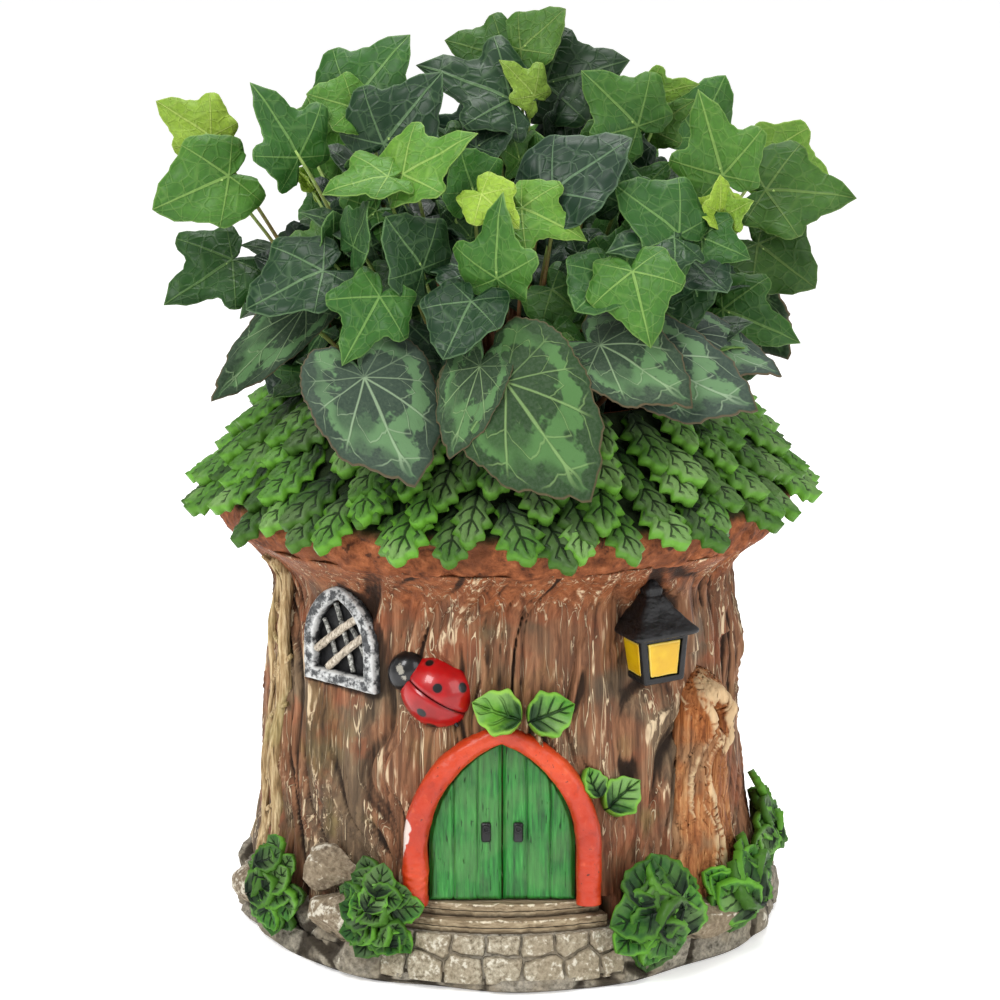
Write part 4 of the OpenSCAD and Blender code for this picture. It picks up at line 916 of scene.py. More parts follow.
def make_rocks():
    finish = rock_finish("loose_rock_paint", (172, 160, 138), (124, 110, 92), (72, 62, 50), 520)
    rocks = (("rock_left_low", -36, 104, 24, (22, 18, 18), 3),
             ("rock_left_top", -40, 101, 39, (24, 17, 16), 5),
             ("rock_far_left", -66, 105, 20, (30, 16, 13), 8), ("rock_right", 47, 107, 19, (38, 17, 14), 12))
    for name, az, r, z, size, seed in rocks:
        chance = Random(seed * 7)
        cuts = [(Vector((chance.gauss(0, 1), chance.gauss(0, 1), chance.gauss(0, 1))).normalized(),
                 chance.uniform(0.7, 0.92)) for _ in range(10)]
        bm = bmesh.new()
        relief = bm.verts.layers.float.new("relief")
        bmesh.ops.create_icosphere(bm, subdivisions=6, radius=1.0)
        turn = Matrix.Translation(polar(az, r, z)) @ about("Z", az) @ about("Y", chance.uniform(-9, 9))
        for v in bm.verts:
            d = v.co.normalized()
            reach = sorted(depth / max(0.05, d.dot(cut)) for cut, depth in cuts)
            bare = min(1.08, reach[0])
            ridge = clamp((min(reach[1], 1.08) - bare) / 0.05)
            rough = sum(wave(d.x * k, d.y * k, d.z * k + seed) * h for k, h in ((3, 0.05), (9, 0.03)))
            v.co = Vector([d[i] * (bare + rough) * size[i] / 2 * 1.1 for i in range(3)]) * MM
            # Paler along the cut edges; the underside is darker as painted shade.
            v[relief] = clamp(0.56 + 0.3 * (1 - ridge) + rough * 5 - 0.6 * clamp(-d.z - 0.35))
        every_way = {"use_axis_" + way: True for way in "xyz"}
        bmesh.ops.smooth_vert(bm, verts=bm.verts, factor=0.5, **every_way)
        move(bm, turn)
        piece(name + "_stone", bm, finish, (name,))


# Door: two leaves of planks, pull handles and the arch

def make_door():
    f = Finish("door_paint", 0.42, 0.45)
    crest = f.mark("relief")
    grain = f.streaks((760, 760, 42), 5, 0.6)
    cracks = f.streaks((1250, 900, 95), 2, 0.5, shift=(4, 2, 1))
    specks = f.noise(900, 2, 0.5)
    paint = f.ramp(grain, (0.28, (10, 58, 18)), (0.46, (22, 100, 32)), (0.62, (38, 126, 44)),
                   (0.8, (84, 160, 78)))
    paint = f.coat(paint, (72, 120, 60), f.noise(70), 0.45, 0.65, 0.45)
    paint = f.coat(paint, (8, 30, 12), cracks, 0.68, 0.72, 0.92)
    paint = f.coat(paint, (10, 28, 12), specks, 0.73, 0.77, 0.8)
    paint = f.coat(paint, (8, 30, 12), crest, 0.55, 0.1, 0.9)
    finish = f.done(paint, grain * 0.7 - f.between(cracks, 0.66, 0.72, 0, 0.5), 0.0007)
    for side, name in ((-1, "door_left"), (1, "door_right")):
        def place(u, v):
            y = 0.2 + (DOOR_H - 0.7) * v
            half = max(0.5, arch_half(DOOR_W - 0.6, DOOR_H - 0.4, DOOR_JAMB, y))
            x = 0.25 + (half - 0.25) * u
            gap = min(abs(x - 9.2 - 0.5 * wave(y / 15, side, 3)), abs(x - 18.2 - 0.5 * wave(y / 15, side, 8)))
            round_off = 1 - ease(min(x - 0.25, half - x, y, DOOR_H - 0.5 - y) / 1.5)
            cut = exp(-(gap / 0.45) ** 2)
            plank = (0.0, 0.35, 0.1)[min(2, int(x / 9.2))]
            d = DOOR_T + (0.7 if side < 0 else 0) + plank - 1.4 * round_off - 0.9 * cut
            d += 0.22 * wave(x / 1.6, y / 16, side + 9) + 0.12 * wave(x / 0.7, y / 9, side)
            return Vector((x * side, y, d)), clamp(1 - 0.75 * cut - 0.5 * round_off)

        bm = sheet(72, 90, place, ("relief",))
        thicken(bm, 0.0, 1.0, 1e-3)
        move(bm, DOOR)
        piece(name + "_planks", bm, finish, (name,))


def black_finish(name, rough):
    f = Finish(name, rough, 0.35)
    grain = f.noise(330, 4, 0.6)
    dust = f.noise(60, 3, 0.5)
    paint = f.coat((8, 8, 9), (22, 22, 24), grain, 0.3, 0.7)
    paint = f.coat(paint, (44, 44, 46), dust, 0.5, 0.75, 0.5)
    return f.done(paint, grain, 0.0006, roughness=f.between(grain, 0.3, 0.7, rough, rough + 0.15))


def make_handles():
    finish = black_finish("handle_paint", 0.3)
    for side, name in ((-1, "door_handle_left"), (1, "door_handle_right")):
        plate = bmesh.new()
        bmesh.ops.create_cube(plate, size=1.0)
        bmesh.ops.scale(plate, vec=(3.7, 7.6, 2.0), verts=plate.verts)
        bmesh.ops.bevel(plate, geom=plate.edges[:], offset=0.95, segments=5, profile=0.5, affect="EDGES",
                        material=-1)

        def ring(t, a):
            turn = 2 * pi * t
            r = 1.15 + 0.5 * cos(a)
            return Vector((r * cos(turn), 1.3 + r * sin(turn), 1.1 + 0.5 * sin(a)))

        bm = joined([plate, bar(ring, 10, 28, loop=True)])
        move(bm, DOOR @ Matrix.Translation((side * 6.0, 26.5, DOOR_T + 0.9)))
        piece(name + "_pull", bm, finish, (name,))


def make_arch():
    f = Finish("arch_paint", 0.4, 0.4, coat_weight=0.12, coat_roughness=0.25)
    crest = f.mark("relief")
    grain = f.noise(240, 5, 0.6)
    broad = f.noise(38, 3, 0.5)
    paint = f.ramp(broad, (0.3, (148, 34, 8)), (0.5, (176, 48, 12)), (0.7, (194, 66, 22)))
    paint = f.coat(paint, (214, 104, 66), grain, 0.55, 0.78, 0.4)
    paint = f.coat(paint, (116, 24, 12), grain, 0.45, 0.3, 0.35)
    # Painted shade: the band darkens on its sides and back and in its dents.
    paint = f.coat(paint, (84, 20, 12), crest, 0.5, 0.05, 0.85)
    paint = f.coat(paint, (60, 20, 14), f.noise(520, 2, 0.5), 0.7, 0.74, 0.85)
    chip = [(DOOR @ Vector((x, y, 8.5)), r * MM * 1.35) for x, y, r in (
        (-35.2, 29.5, 2.2), (-36.4, 26, 2.3), (-37.6, 22.3, 1.9), (-38.2, 19.2, 1.3))]
    paint = f.coat(paint, (206, 188, 180), f.past(chip) + (grain - 0.5) * 0.0014, 0.0004, -0.0002)
    finish = f.done(paint, grain, 0.0007)

    def spot_at(t, a):
        s = 5 * t if t <= 0.2 else 1 + (t - 0.2) / 0.3 if t <= 0.8 else 3 + (t - 0.8) * 5
        inner = Vector(arch_line(DOOR_W, DOOR_H - 0.3, DOOR_JAMB, s))
        outer = Vector(arch_line(DOOR_W + 2 * ARCH_W, DOOR_H + 0.8 * ARCH_W, DOOR_JAMB, s))
        swell = 1 + 0.12 * wave(t * 12, 2, 0) + 0.06 * wave(t * 36, 5, 0)
        c, d = blunt(cos(a), 0.8), blunt(sin(a), 0.7)
        across = inner + (outer - inner) * (0.5 + 0.5 * c * swell)
        dent = sum(0.5 * wave(t * along_t, k * cos(a), k * sin(a)) for along_t, k in ((30, 1), (75, 2)))
        depth = ARCH_T * (0.5 + 0.5 * d * (0.95 + 0.1 * swell)) + dent
        # Paler on the front face; the sides, back and dents are darker as painted shade.
        paleness = clamp(0.75 + 0.35 * d - 0.3 * abs(c) + 0.5 * dent)
        return DOOR @ Vector((across.x, across.y + 0.5 * clamp(s - 0.5) - 0.4, depth)), paleness

    piece("arch_band", bar(spot_at, 36, 190, ("relief",)), finish, ("door_arch",))


# Window with its crossed sticks

def make_window():
    f = Finish("pewter_paint", 0.5, 0.5, metallic=0.25)
    crest = f.mark("relief")
    grain = f.noise(620, 5, 0.7)
    blot = f.noise(210, 4, 0.65)
    paint = f.ramp(grain, (0.3, (18, 19, 21)), (0.5, (58, 60, 62)), (0.72, (108, 110, 111)))
    brushed = f.between(crest * 0.9 + blot + (grain - 0.5) * 0.5, 1.04, 1.26)
    paint = f.mix(brushed * 0.9, paint, (206, 207, 205))
    frame_paint = f.done(paint, grain * 0.5 + blot * 0.5, 0.0009)

    def spot_at(t, a):
        s = 5 * t
        if s <= 4:
            outer = Vector(arch_line(WINDOW_W, WINDOW_H, WINDOW_JAMB, s))
            inner = Vector(arch_line(WINDOW_W - 2 * WINDOW_BAND, WINDOW_H - 2.1 * WINDOW_BAND,
                                     WINDOW_JAMB - WINDOW_BAND, s)) + Vector((0, WINDOW_BAND))
        else:
            outer = Vector((WINDOW_W / 2 - WINDOW_W * (s - 4), 0))
            half = WINDOW_W / 2 - WINDOW_BAND
            inner = Vector((half - 2 * half * (s - 4), WINDOW_BAND))
        for p in (inner, outer):
            p.x -= WINDOW_SKEW * p.y / WINDOW_H
        c, d = blunt(cos(a), 0.55), blunt(sin(a), 0.5)
        across = inner + (outer - inner) * (0.5 + 0.5 * c * (1 + 0.1 * wave(t * 25, 1, 0)))
        depth = WINDOW_T * (0.5 + 0.5 * d) + 0.3 * wave(across.x / 3, across.y / 3, 4.2)
        edge = clamp(0.35 + 0.3 * d + 0.35 * abs(c) ** 3)
        return WINDOW @ Vector((across.x, across.y, depth)), edge

    piece("window_surround", bar(spot_at, 24, 170, ("relief",), loop=True), frame_paint,
          ("window_frame",))

    def pane(u, v):
        y = WINDOW_BAND - 1 + (WINDOW_H - 1.6 * WINDOW_BAND) * v
        half = arch_half(WINDOW_W - 1.4 * WINDOW_BAND, WINDOW_H - 1.6 * WINDOW_BAND, WINDOW_JAMB, y) + 0.4
        x = half * (2 * u - 1) - WINDOW_SKEW * y / WINDOW_H
        return Vector((x, y, 0.5 + 0.35 * wave(x / 3, y / 3, 7)))

    bm = sheet(30, 30, pane)
    thicken(bm, 0.0, 1.0, 1e-3)
    move(bm, WINDOW)
    piece("window_dark", bm, black_finish("window_dark_paint", 0.45), ("window_pane",))

    f = Finish("stick_paint", 0.65, 0.3)
    fibre = f.streaks((1100, 1100, 500), 4, 0.7)
    paint = f.ramp(fibre, (0.3, (92, 84, 74)), (0.5, (176, 164, 146)), (0.7, (224, 216, 200)))
    front_paint = f.done(paint, fibre, 0.0006)
    f = Finish("grey_stick_paint", 0.6, 0.35)
    fibre = f.noise(700, 4, 0.7)
    paint = f.ramp(fibre, (0.36, (40, 40, 40)), (0.52, (132, 132, 126)), (0.66, (214, 214, 206)))
    back_paint = f.done(paint, fibre, 0.0006)
    sets = (("window_sticks_front", "window_bars_front", front_paint, 3.3,
             (((-13.6, 11.8), (7.6, 27.3), 1.5), ((-7.2, 5.8), (11.6, 21.2), 1.5))),
            ("window_sticks_back", "window_bars_back", back_paint, 1.7,
             (((-6.2, 30.5), (4.4, 5.6), 1.0), ((-11.8, 23.5), (-4.6, 9.5), 0.9),
              ((1.2, 23.5), (11.2, 10.5), 0.9))))
    for name, node, paint, depth, lines in sets:
        sticks = []
        for (x0, y0), (x1, y1), r in lines:
            def line(t):
                bend = 0.8 * sin(pi * t)
                return WINDOW @ Vector((x0 + (x1 - x0) * t + bend * 0.4, y0 + (y1 - y0) * t + bend, depth))

            def thick(t, a):
                return r * (1 + 0.2 * wave(3 * cos(a) + x0, 3 * sin(a), 9 * t))

            sticks.append(tube(line, thick, 12, 26))
        piece(name, joined(sticks), paint, (node,))


# Ladybird

def make_ladybird():
    f = Finish("ladybird_red", 0.3, 0.3, coat_weight=0.3, coat_roughness=0.06)
    crest = f.mark("relief")
    cloud = f.noise(90, 3, 0.5)
    paint = f.coat((130, 4, 8), (164, 10, 13), cloud, 0.35, 0.65)
    # Painted shade: the wing cases darken toward their lower edge, where they meet the bark; the seam between
    # them is dark as well.
    paint = f.coat(paint, (74, 4, 8), crest, 0.7, 0.15, 0.85)
    dots = []
    for x, y, r in ((7.4, -8.6, 1.7), (-0.9, -4.2, 1.8), (-8.0, -8.2, 2.0), (-0.6, 7.6, 1.9),
                    (8.2, 11.0, 1.9), (-5.6, 11.2, 1.9), (-1.0, 13.2, 1.2)):
        dome = sqrt(max(0, 1 - (x / WING_L) ** 2 - ((y - WING_SHIFT) / WING_W) ** 2))
        dots.append((BUG @ Vector((x, y, WING_H * dome - WING_DROP)), r * MM))
    near = f.past(dots) + (cloud - 0.5) * 0.0008
    paint = f.coat(paint, (96, 28, 34), near, 0.0007, 0.0002, 0.4)
    paint = f.coat(paint, (10, 8, 10), near, 0.0001, -0.0002)
    red = f.done(paint, cloud, 0.0004)
    for side, name in ((-1, "ladybird_wing_left"), (1, "ladybird_wing_right")):
        def place(u, v):
            turn, along_x = radians(2 + 88 * u), pi * (0.04 + 0.92 * v)
            x = WING_L * cos(along_x)
            y = side * max(0.12, WING_W * (sin(along_x) * cos(turn)))
            z = WING_H * sin(along_x) * sin(turn) - WING_DROP
            seam = exp(-(y / 0.9) ** 2)
            z -= 0.75 * seam
            # Painted shade: the mark drops toward the wing case's lower edge.
            low = clamp((z - 0.2) / 3)
            return Vector((x, y + WING_SHIFT, z)), clamp(0.25 + 0.75 * low - 0.8 * seam)

        bm = sheet(44, 44, place, ("relief",))
        move(bm, BUG)
        bmesh.ops.recalc_face_normals(bm, faces=bm.faces)
        bm.faces.ensure_lookup_table()
        face = bm.faces[len(bm.faces) // 2]
        if (face.calc_center_median() - BUG @ Vector((0, 0, -2))).dot(face.normal) < 0:
            bmesh.ops.reverse_faces(bm, faces=bm.faces)
        made = piece(name + "_case", bm, red, (name,))
        wall(made, 0.0012, -1)
    f = Finish("ladybird_black", 0.3, 0.25, coat_weight=0.3, coat_roughness=0.06)
    cloud = f.noise(160, 3, 0.5)
    paint = f.coat((6, 6, 7), (22, 22, 24), cloud, 0.35, 0.65)
    eyes = [(BUG @ Vector((x, y, z)), r * MM) for x, y, z, r in (
        (15.4, -1.2, 7.0, 1.3), (14.2, -0.6, 7.4, 1.1), (11.9, 0.8, 7.4, 0.9))]
    speck = f.noise(1500, 3, 0.7)
    paint = f.coat(paint, (150, 146, 134), f.past(eyes) + (speck - 0.5) * 0.003, 0.0003, -0.0003, 0.85)
    black = f.done(paint, cloud, 0.0002)
    bm = bmesh.new()
    bmesh.ops.create_icosphere(bm, subdivisions=5, radius=6.6)
    for v in bm.verts:
        v.co = BUG @ Vector((13.6 + v.co.x, v.co.y * 1.2, 1.0 + v.co.z * 0.96))
    piece("ladybird_face", bm, black, ("ladybird_head",))

    def body(t, a):
        round_off = blunt(sin(pi * (0.02 + 0.96 * t)), 0.4)
        x, y = 13.6 * cos(a) * round_off, 12.7 * sin(a) * round_off + 0.6
        return BUG @ Vector((x, y, -1.0 + 2.6 * t))

    def tail_line(t):
        return BUG @ Vector((-11.5 - 2.4 * t, 5.5 + 0.8 * t, 0.8 + 0.6 * t))

    tail = tube(tail_line, lambda t, a: 1.1 - 0.7 * t, 8, 8)
    piece("ladybird_underside", joined([bar(body, 60, 10), tail]), black, ("ladybird_body",))


# Lantern

LAMP = (Matrix.Translation(polar(LAMP_AZ, LAMP_R, LAMP_Z)) @ about("Z", LAMP_TURN) @ about("Y", -LAMP_TILT)
        @ Matrix.Scale(MM, 4))


def make_lantern():
    black = black_finish("lantern_paint", 0.38)
    bm = bmesh.new()
    bmesh.ops.create_cube(bm, size=1.0)
    for v in bm.verts:
        wide = LAMP_W if v.co.z > 0 else LAMP_FOOT_W
        v.co = Vector((v.co.x * wide, v.co.y * wide, (v.co.z + 0.5) * LAMP_H))
    bmesh.ops.bevel(bm, geom=bm.edges[:], offset=0.9, segments=3, profile=0.5, affect="EDGES", material=-1)
    sides = sorted((fc for fc in bm.faces if abs(fc.normal.z) < 0.3 and fc.normal.y < 0.5),
                   key=lambda fc: -fc.calc_area())[:3]
    bmesh.ops.inset_individual(bm, faces=sides, thickness=2.1, depth=0.0)
    bmesh.ops.inset_individual(bm, faces=sides, thickness=0.25, depth=-1.4)
    move(bm, LAMP)
    piece("lantern_case", bm, black, ("lantern_body",), smooth=False)

    profile = ((0, -0.9), (12.0, -0.9), (13.3, -0.3), (13.5, 0.8), (12.2, 2.2), (9.4, 5.0), (6.4, 8.8),
               (4.1, 12.8), (3.3, 13.6), (3.5, 14.4), (3.5, 15.8), (2.8, 16.8), (1.7, 18.2), (0.8, 19.0),
               (0, 19.1))

    def roof(u, v):
        half, z = along(profile, v)
        a = 2 * pi * u
        sharp = 12 if z < 13.2 else 5
        round_off = (abs(cos(a)) ** sharp + abs(sin(a)) ** sharp) ** (-1 / sharp)
        x, y = half * round_off * cos(a), half * round_off * sin(a)
        dent = 0.3 * wave(x / 4, y / 4, z / 4) + 0.12 * wave(x, y, z)
        k = 1 + dent / max(2, half)
        return LAMP @ Vector((x * k, y * k, LAMP_H + z + 0.4 * dent))

    piece("lantern_cover", close(sheet(96, 90, roof), 1e-5), black,
          ("lantern_roof", "lantern_cap"))

    f = Finish("lantern_yellow", 0.32, 0.5)
    grain = f.noise(300, 4, 0.6)
    cloud = f.noise(90, 3, 0.5)
    crest = f.mark("relief")
    paint = f.coat((192, 150, 4), (210, 172, 10), cloud, 0.35, 0.65)
    paint = f.coat(paint, (172, 126, 4), grain, 0.55, 0.75, 0.3)
    paint = f.coat(paint, (250, 222, 110), crest, 0.25, 0.02, 0.7)
    yellow = f.done(paint, grain, 0.0003)
    panes = []
    slope = atan((LAMP_W - LAMP_FOOT_W) / 2 / LAMP_H)
    for turn in (-90, 0, 90):
        side = (LAMP @ about("Z", turn) @ Matrix.Translation((0, -LAMP_FOOT_W / 2, 0))
                @ Matrix.Rotation(pi / 2 + slope, 4, "X"))

        def pane(u, v):
            y = 3.0 + (LAMP_H - 6.0) * v
            half = (LAMP_FOOT_W + (LAMP_W - LAMP_FOOT_W) * y / LAMP_H) / 2 - 3.1
            x = half * (2 * u - 1) + 0.25 * wave(y / 4, turn, u)
            edge = min(u, 1 - u, v, 1 - v)
            y += 0.2 * wave(x / 4, turn, v)
            return Vector((x, y, -0.55 + 0.35 * ease(edge / 0.08))), clamp(edge * 4)

        bm = sheet(26, 26, pane, ("relief",))
        thicken(bm, -1.5, 1.0, 1e-3)
        move(bm, side)
        panes.append(bm)
    piece("lantern_glow", joined(panes), yellow, ("lantern_panes",))


# Cast leaves on the bark and in clumps on the bank

def broad_leaf(teeth=3, curl=0.3, cols=12, rows=16):
    """A broad plump leaf one unit long, curled along its length."""
    def place(u, v):
        s = 2 * u - 1
        half = 0.5 * max(0.0, sin(pi * clamp(v) ** 0.78)) ** 0.72
        half *= 1 + 0.07 * sin(2 * pi * teeth * v)
        half += 0.03 if v < 0.01 else 0
        rib = exp(-(s / 0.14) ** 2)
        panel = sin(pi * (teeth * 1.4 * v - 1.2 * abs(s))) ** 2
        h = 0.12 + 0.22 * abs(s) ** 1.4 * half * 2 - 0.05 * rib + 0.05 * panel * (1 - s * s) - 0.05 * s ** 8
        return Vector((s * half, v, h + curl * (v - 0.45) ** 2 - 0.05)), 1.0

    return thicken(sheet(cols, rows, place, ("shade",), lambda u, v: (u, v)), 0.0)


def make_moss_leaves():
    finish = cast_leaf_finish("moss_leaf_paint", (108, 160, 50), (60, 120, 38), (12, 38, 18), 4.0)
    smooth_leaf = cast_leaf_finish("plump_leaf_paint", (126, 172, 58), (84, 142, 46), (20, 52, 22), 3.0, 0.15)
    for node, az, z, turn, length, width, out in (
            ("arch_leaf_left", 4.2, DOOR_Z + DOOR_H + 10.2, 72, 19, 15, 3.6),
            ("arch_leaf_right", 5.6, DOOR_Z + DOOR_H + 9.6, -74, 18, 15, 3.8),
            ("side_leaf_low", 23.0, DOOR_Z + 35, -62, 17, 13, 2.4),
            ("side_leaf_high", 21.5, DOOR_Z + 40, 20, 12, 9, 2.4)):
        here = stand(az, trunk_r(z) + out, z)
        place = here @ about("Z", turn) @ about("X", -14) @ about("Y", 18 if turn > 0 else -18)
        bm = broad_leaf(curl=0.5, cols=24, rows=30)
        layer = bm.verts.layers.float["shade"]
        for v in bm.verts:
            v[layer] = 0.9
            v.co = place @ Vector((v.co.x * width * 1.15, v.co.y * length, v.co.z * length * 1.25 - 0.8))
        paint = smooth_leaf if node == "arch_leaf_left" else finish
        piece(node + "_cast", bm, paint, (node,))
    finish = cast_leaf_finish("clump_leaf_paint", (92, 152, 40), (38, 92, 30), (5, 22, 11), 4.2)
    clumps = (("foliage_far_left", -54, 104, 25, 24, 32, 22, 21, 13.5),
              ("foliage_door_left", -25.5, 104, 26, 24, 36, 24, 22, 13.5),
              ("foliage_door_right", 32, 104, 22, 30, 34, 17, 23, 19),
              ("foliage_right", 56, 105, 23, 36, 25, 17, 24, 18.5),
              ("foliage_back_right", 84, 100, 29, 29, 32, 22, 25, 16))
    for node, az, r, z, width, height, count, seed, leaf in clumps:
        chance = Random(seed)
        bm = broad_leaf(teeth=4, curl=0.8 if leaf < 15 else 0.35, cols=8, rows=14)
        blank = parts_of(bm)
        here = stand(az, r, z + 0.12 * height, 0)
        for i in range(count):
            a = 2 * pi * (i * 0.382 + chance.uniform(-0.06, 0.06))
            reach = sqrt((i + 0.4) / count)
            x, y = reach * cos(a) * width / 2, reach * sin(a) * height / 2
            if x < 0:
                y *= 0.85
            d = 8.5 * sqrt(max(0.02, 1 - reach ** 2)) + chance.uniform(-2.2, 1.5)
            tilt_x = 1.6 * x / width + chance.uniform(-0.4, 0.4)
            tilt_y = 1.4 * y / height + chance.uniform(-0.2, 0.6)
            normal = Vector((tilt_x, tilt_y, 1)).normalized()
            way_x, way_y = cos(a) + chance.uniform(-0.9, 0.9), sin(a) + chance.uniform(-0.9, 0.9)
            way = Vector((way_x, way_y, -0.15))
            way = (way - normal * way.dot(normal)).normalized()
            right = way.cross(normal)
            length = leaf * chance.uniform(0.8, 1.2) * (1.1 - 0.25 * reach)
            foot = Vector((x, y, d)) - way * length * 0.5

            def place(p):
                across = right * p.x * length * 0.95
                return here @ (foot + across + way * p.y * length + normal * p.z * length)

            stamp(bm, blank, place, shade=chance.uniform(0.15, 1.0) * (0.75 + 0.25 * reach))
        bmesh.ops.delete(bm, geom=blank, context="VERTS")
        piece(node + "_leaves", bm, finish, (node,))


# Planting: compost, cyclamen and ivy, which lift out together

def make_compost():
    f = Finish("compost_crumbs", 0.95, 0.15)
    crumbs = f.noise(420, 5, 0.7)
    paint = f.ramp(crumbs, (0.34, (22, 15, 10)), (0.52, (52, 36, 24)), (0.68, (92, 68, 46)))
    finish = f.done(paint, crumbs, 0.003)
    outline = ((0, COMPOST_Z), (71, COMPOST_Z), (73, COMPOST_Z - 2), (73.2, 150), (73.2, 90),
               (73, SLAB_T + 2), (71, SLAB_T + 0.3), (0, SLAB_T + 0.3))

    def place(u, v):
        r, z = along(outline, v)
        a = 2 * pi * u
        x, y = r * sin(a), -r * cos(a)
        rough = 0.9 * wave(x / 5, y / 5, z / 5) + 0.6 * wave(x / 2.2, y / 2.2, z / 2.2)
        fade = clamp(r / 4) * clamp((z - SLAB_T) / 4)
        k = 1 + rough * fade * (0.35 if r > 70 else 0) / 73
        return Vector((x * k, y * k, z + (rough * fade if z > COMPOST_Z - 1 else 0))) * MM

    piece("compost_ball", close(sheet(180, 130, place)), finish, ("root_ball",), body="planting")


# Up and toward the camera, as the photo shows them
SIGHT_UP = Vector((0, sin(radians(SIGHT_DOWN)), cos(radians(SIGHT_DOWN))))
SIGHT_TO = Vector((0, -cos(radians(SIGHT_DOWN)), sin(radians(SIGHT_DOWN))))


def leaf_frame(heading, lean, tip=0.0, roll=0.0):
    """The across, along and upper side directions of a leaf that heads so, as seen from the door."""
    a = radians(heading)
    along_y = (cos(a) * Vector((1, 0, 0)) + sin(a) * SIGHT_UP + lean * SIGHT_TO).normalized()
    face = SIGHT_TO + Vector((roll, 0, 0.45 + tip))
    upper = (face - along_y * face.dot(along_y)).normalized()
    return along_y.cross(upper), along_y, upper


def fresh_leaf(keys, cols, rows, fold, pucker, droop, teeth=0.0):
    """A thin leaf one unit long; keys give its reach by the angle from its tip."""
    def place(u, v):
        turn = 360 * u - 180
        reach = through(keys, abs(turn)) * (1 + teeth * sin(radians(44 * turn)))
        lob = 1 + 0.05 * sin(radians(turn * 2 + 40))
        x = reach * v * sin(radians(turn)) * lob
        y = reach * v * cos(radians(turn))
        wavy = pucker * sin(radians(turn * 7 + 30)) * v * v
        z = fold * abs(x) + wavy - droop * (x * x + y * y) + 0.03 * sin(9 * y) * v
        return Vector((x, y, z)), v, 0.0, 0.0

    bm = sheet(cols, rows, place, ("rim", "age", "shade"), lambda u, v: (u, v))
    uv = bm.loops.layers.uv["UVMap"]
    for face in bm.faces:
        for loop in face.loops:
            loop[uv].uv = (0.5 + loop.vert.co.x * 0.5, 0.5 + loop.vert.co.y * 0.4)
    bmesh.ops.remove_doubles(bm, verts=bm.verts, dist=1e-5)
    bmesh.ops.recalc_face_normals(bm, faces=bm.faces)
    bm.faces.ensure_lookup_table()
    if bm.faces[0].normal.z < 0:
        bmesh.ops.reverse_faces(bm, faces=bm.faces)
    return bm


# Outlines of leaves: the reach at each angle from the tip
IVY_SHAPES = (
    ((0, 1.0), (10, 0.86), (24, 0.67), (38, 0.6), (52, 0.68), (64, 0.69), (80, 0.57), (96, 0.49),
     (118, 0.51), (144, 0.38), (166, 0.17), (180, 0.04)),
    ((0, 0.92), (12, 0.82), (30, 0.66), (46, 0.61), (62, 0.65), (80, 0.57), (104, 0.5), (126, 0.48),
     (150, 0.33), (168, 0.14), (180, 0.04)),
    ((0, 1.04), (9, 0.86), (24, 0.6), (36, 0.55), (50, 0.7), (60, 0.71), (76, 0.54), (98, 0.45),
     (122, 0.48), (144, 0.34), (166, 0.15), (180, 0.04)))
HEART = ((0, 1.0), (8, 0.9), (24, 0.76), (50, 0.6), (80, 0.52), (110, 0.5), (135, 0.46), (155, 0.36),
         (170, 0.2), (180, 0.04))

# Leaves that stand out: x, y, height over the compost, length, heading, lean, age 0 young to 1 old
IVY = ((-111, -30, 110, 24, 146, 0.2, 0.0), (-104, -45, 94, 33, 205, 0.3, 0.3),
       (-76, -50, 105, 30, 114, 0.6, 0.5), (-54, -30, 123, 33, 54, 0.2, 0.5),
       (-57, -35, 120, 20, 163, 0.4, 0.3), (-33, -75, 100, 30, 28, 0.3, 0.3),
       (-43, -80, 98, 24, 187, 0.4, 0.25), (-68, -70, 62, 34, 203, 0.3, 0.9),
       (-105, -25, 60, 31, 216, 0.3, 0.5), (-53, -72, 74, 22, 64, 0.9, 0.55),
       (-30, -76, 67, 28, 124, 0.8, 0.8), (-45, -88, 54, 29, 243, 0.4, 0.5),
       (-42, -40, 109, 33, 51, 0.4, 0.85), (-11, -72, 94, 22, 110, 0.9, 0.5), (-2, -92, 66, 28, 95, 0.6, 0.5),
       (-6, -84, 91, 20, 316, 0.4, 0.05), (-12, -98, 54, 28, 243, 0.6, 0.85),
       (0, -20, 123, 36, 156, 0.2, 0.85), (-1, 0, 137, 24, 163, 0.2, 0.4), (9, 0, 141, 25, 42, 0.3, 0.25),
       (11, -15, 124, 18, 130, 0.5, 0.05), (20, 5, 127, 34, 13, 0.2, 0.8), (21, -70, 94, 37, 39, 0.2, 1.0),
       (9, -78, 86, 24, 338, 0.4, 0.25), (49, -25, 114, 29, 135, 0.4, 0.5), (62, -66, 78, 33, 140, 0.5, 0.5),
       (81, -40, 98, 32, 108, 0.4, 0.3), (104, -15, 87, 34, 359, 0.2, 0.3), (101, -10, 64, 31, 321, 0.3, 0.3),
       (86, -35, 43, 30, 338, 0.3, 0.5), (47, -88, 63, 28, 283, 0.5, 0.5), (37, -84, 62, 26, 228, 0.7, 0.5),
       (60, -70, 75, 28, 190, 0.7, 0.85), (75, -55, 73, 20, 335, 0.6, 0.5), (70, -60, 65, 24, 313, 0.6, 0.85),
       (58, -10, 111, 20, 30, 0.6, 0.25), (80, -52, 84, 14, 84, 0.7, 0.0), (78, -52, 82, 13, 150, 0.8, 0.0),
       (83, -52, 82, 13, 25, 0.8, 0.05))
CYCLAMEN = ((-47, -104, 26, 46, 295, 0.35, 0.7), (-9, -106, 31, 36, 252, 0.4, 0.25),
            (4, -108, 25, 52, 306, 0.25, 0.2), (38, -92, 38, 40, 333, 0.6, 0.5),
            (54, -84, 32, 48, 334, 0.35, 0.9), (74, -52, 36, 38, 331, 0.3, 0.95),
            (-76, -56, 45, 50, 226, 0.1, 0.4))


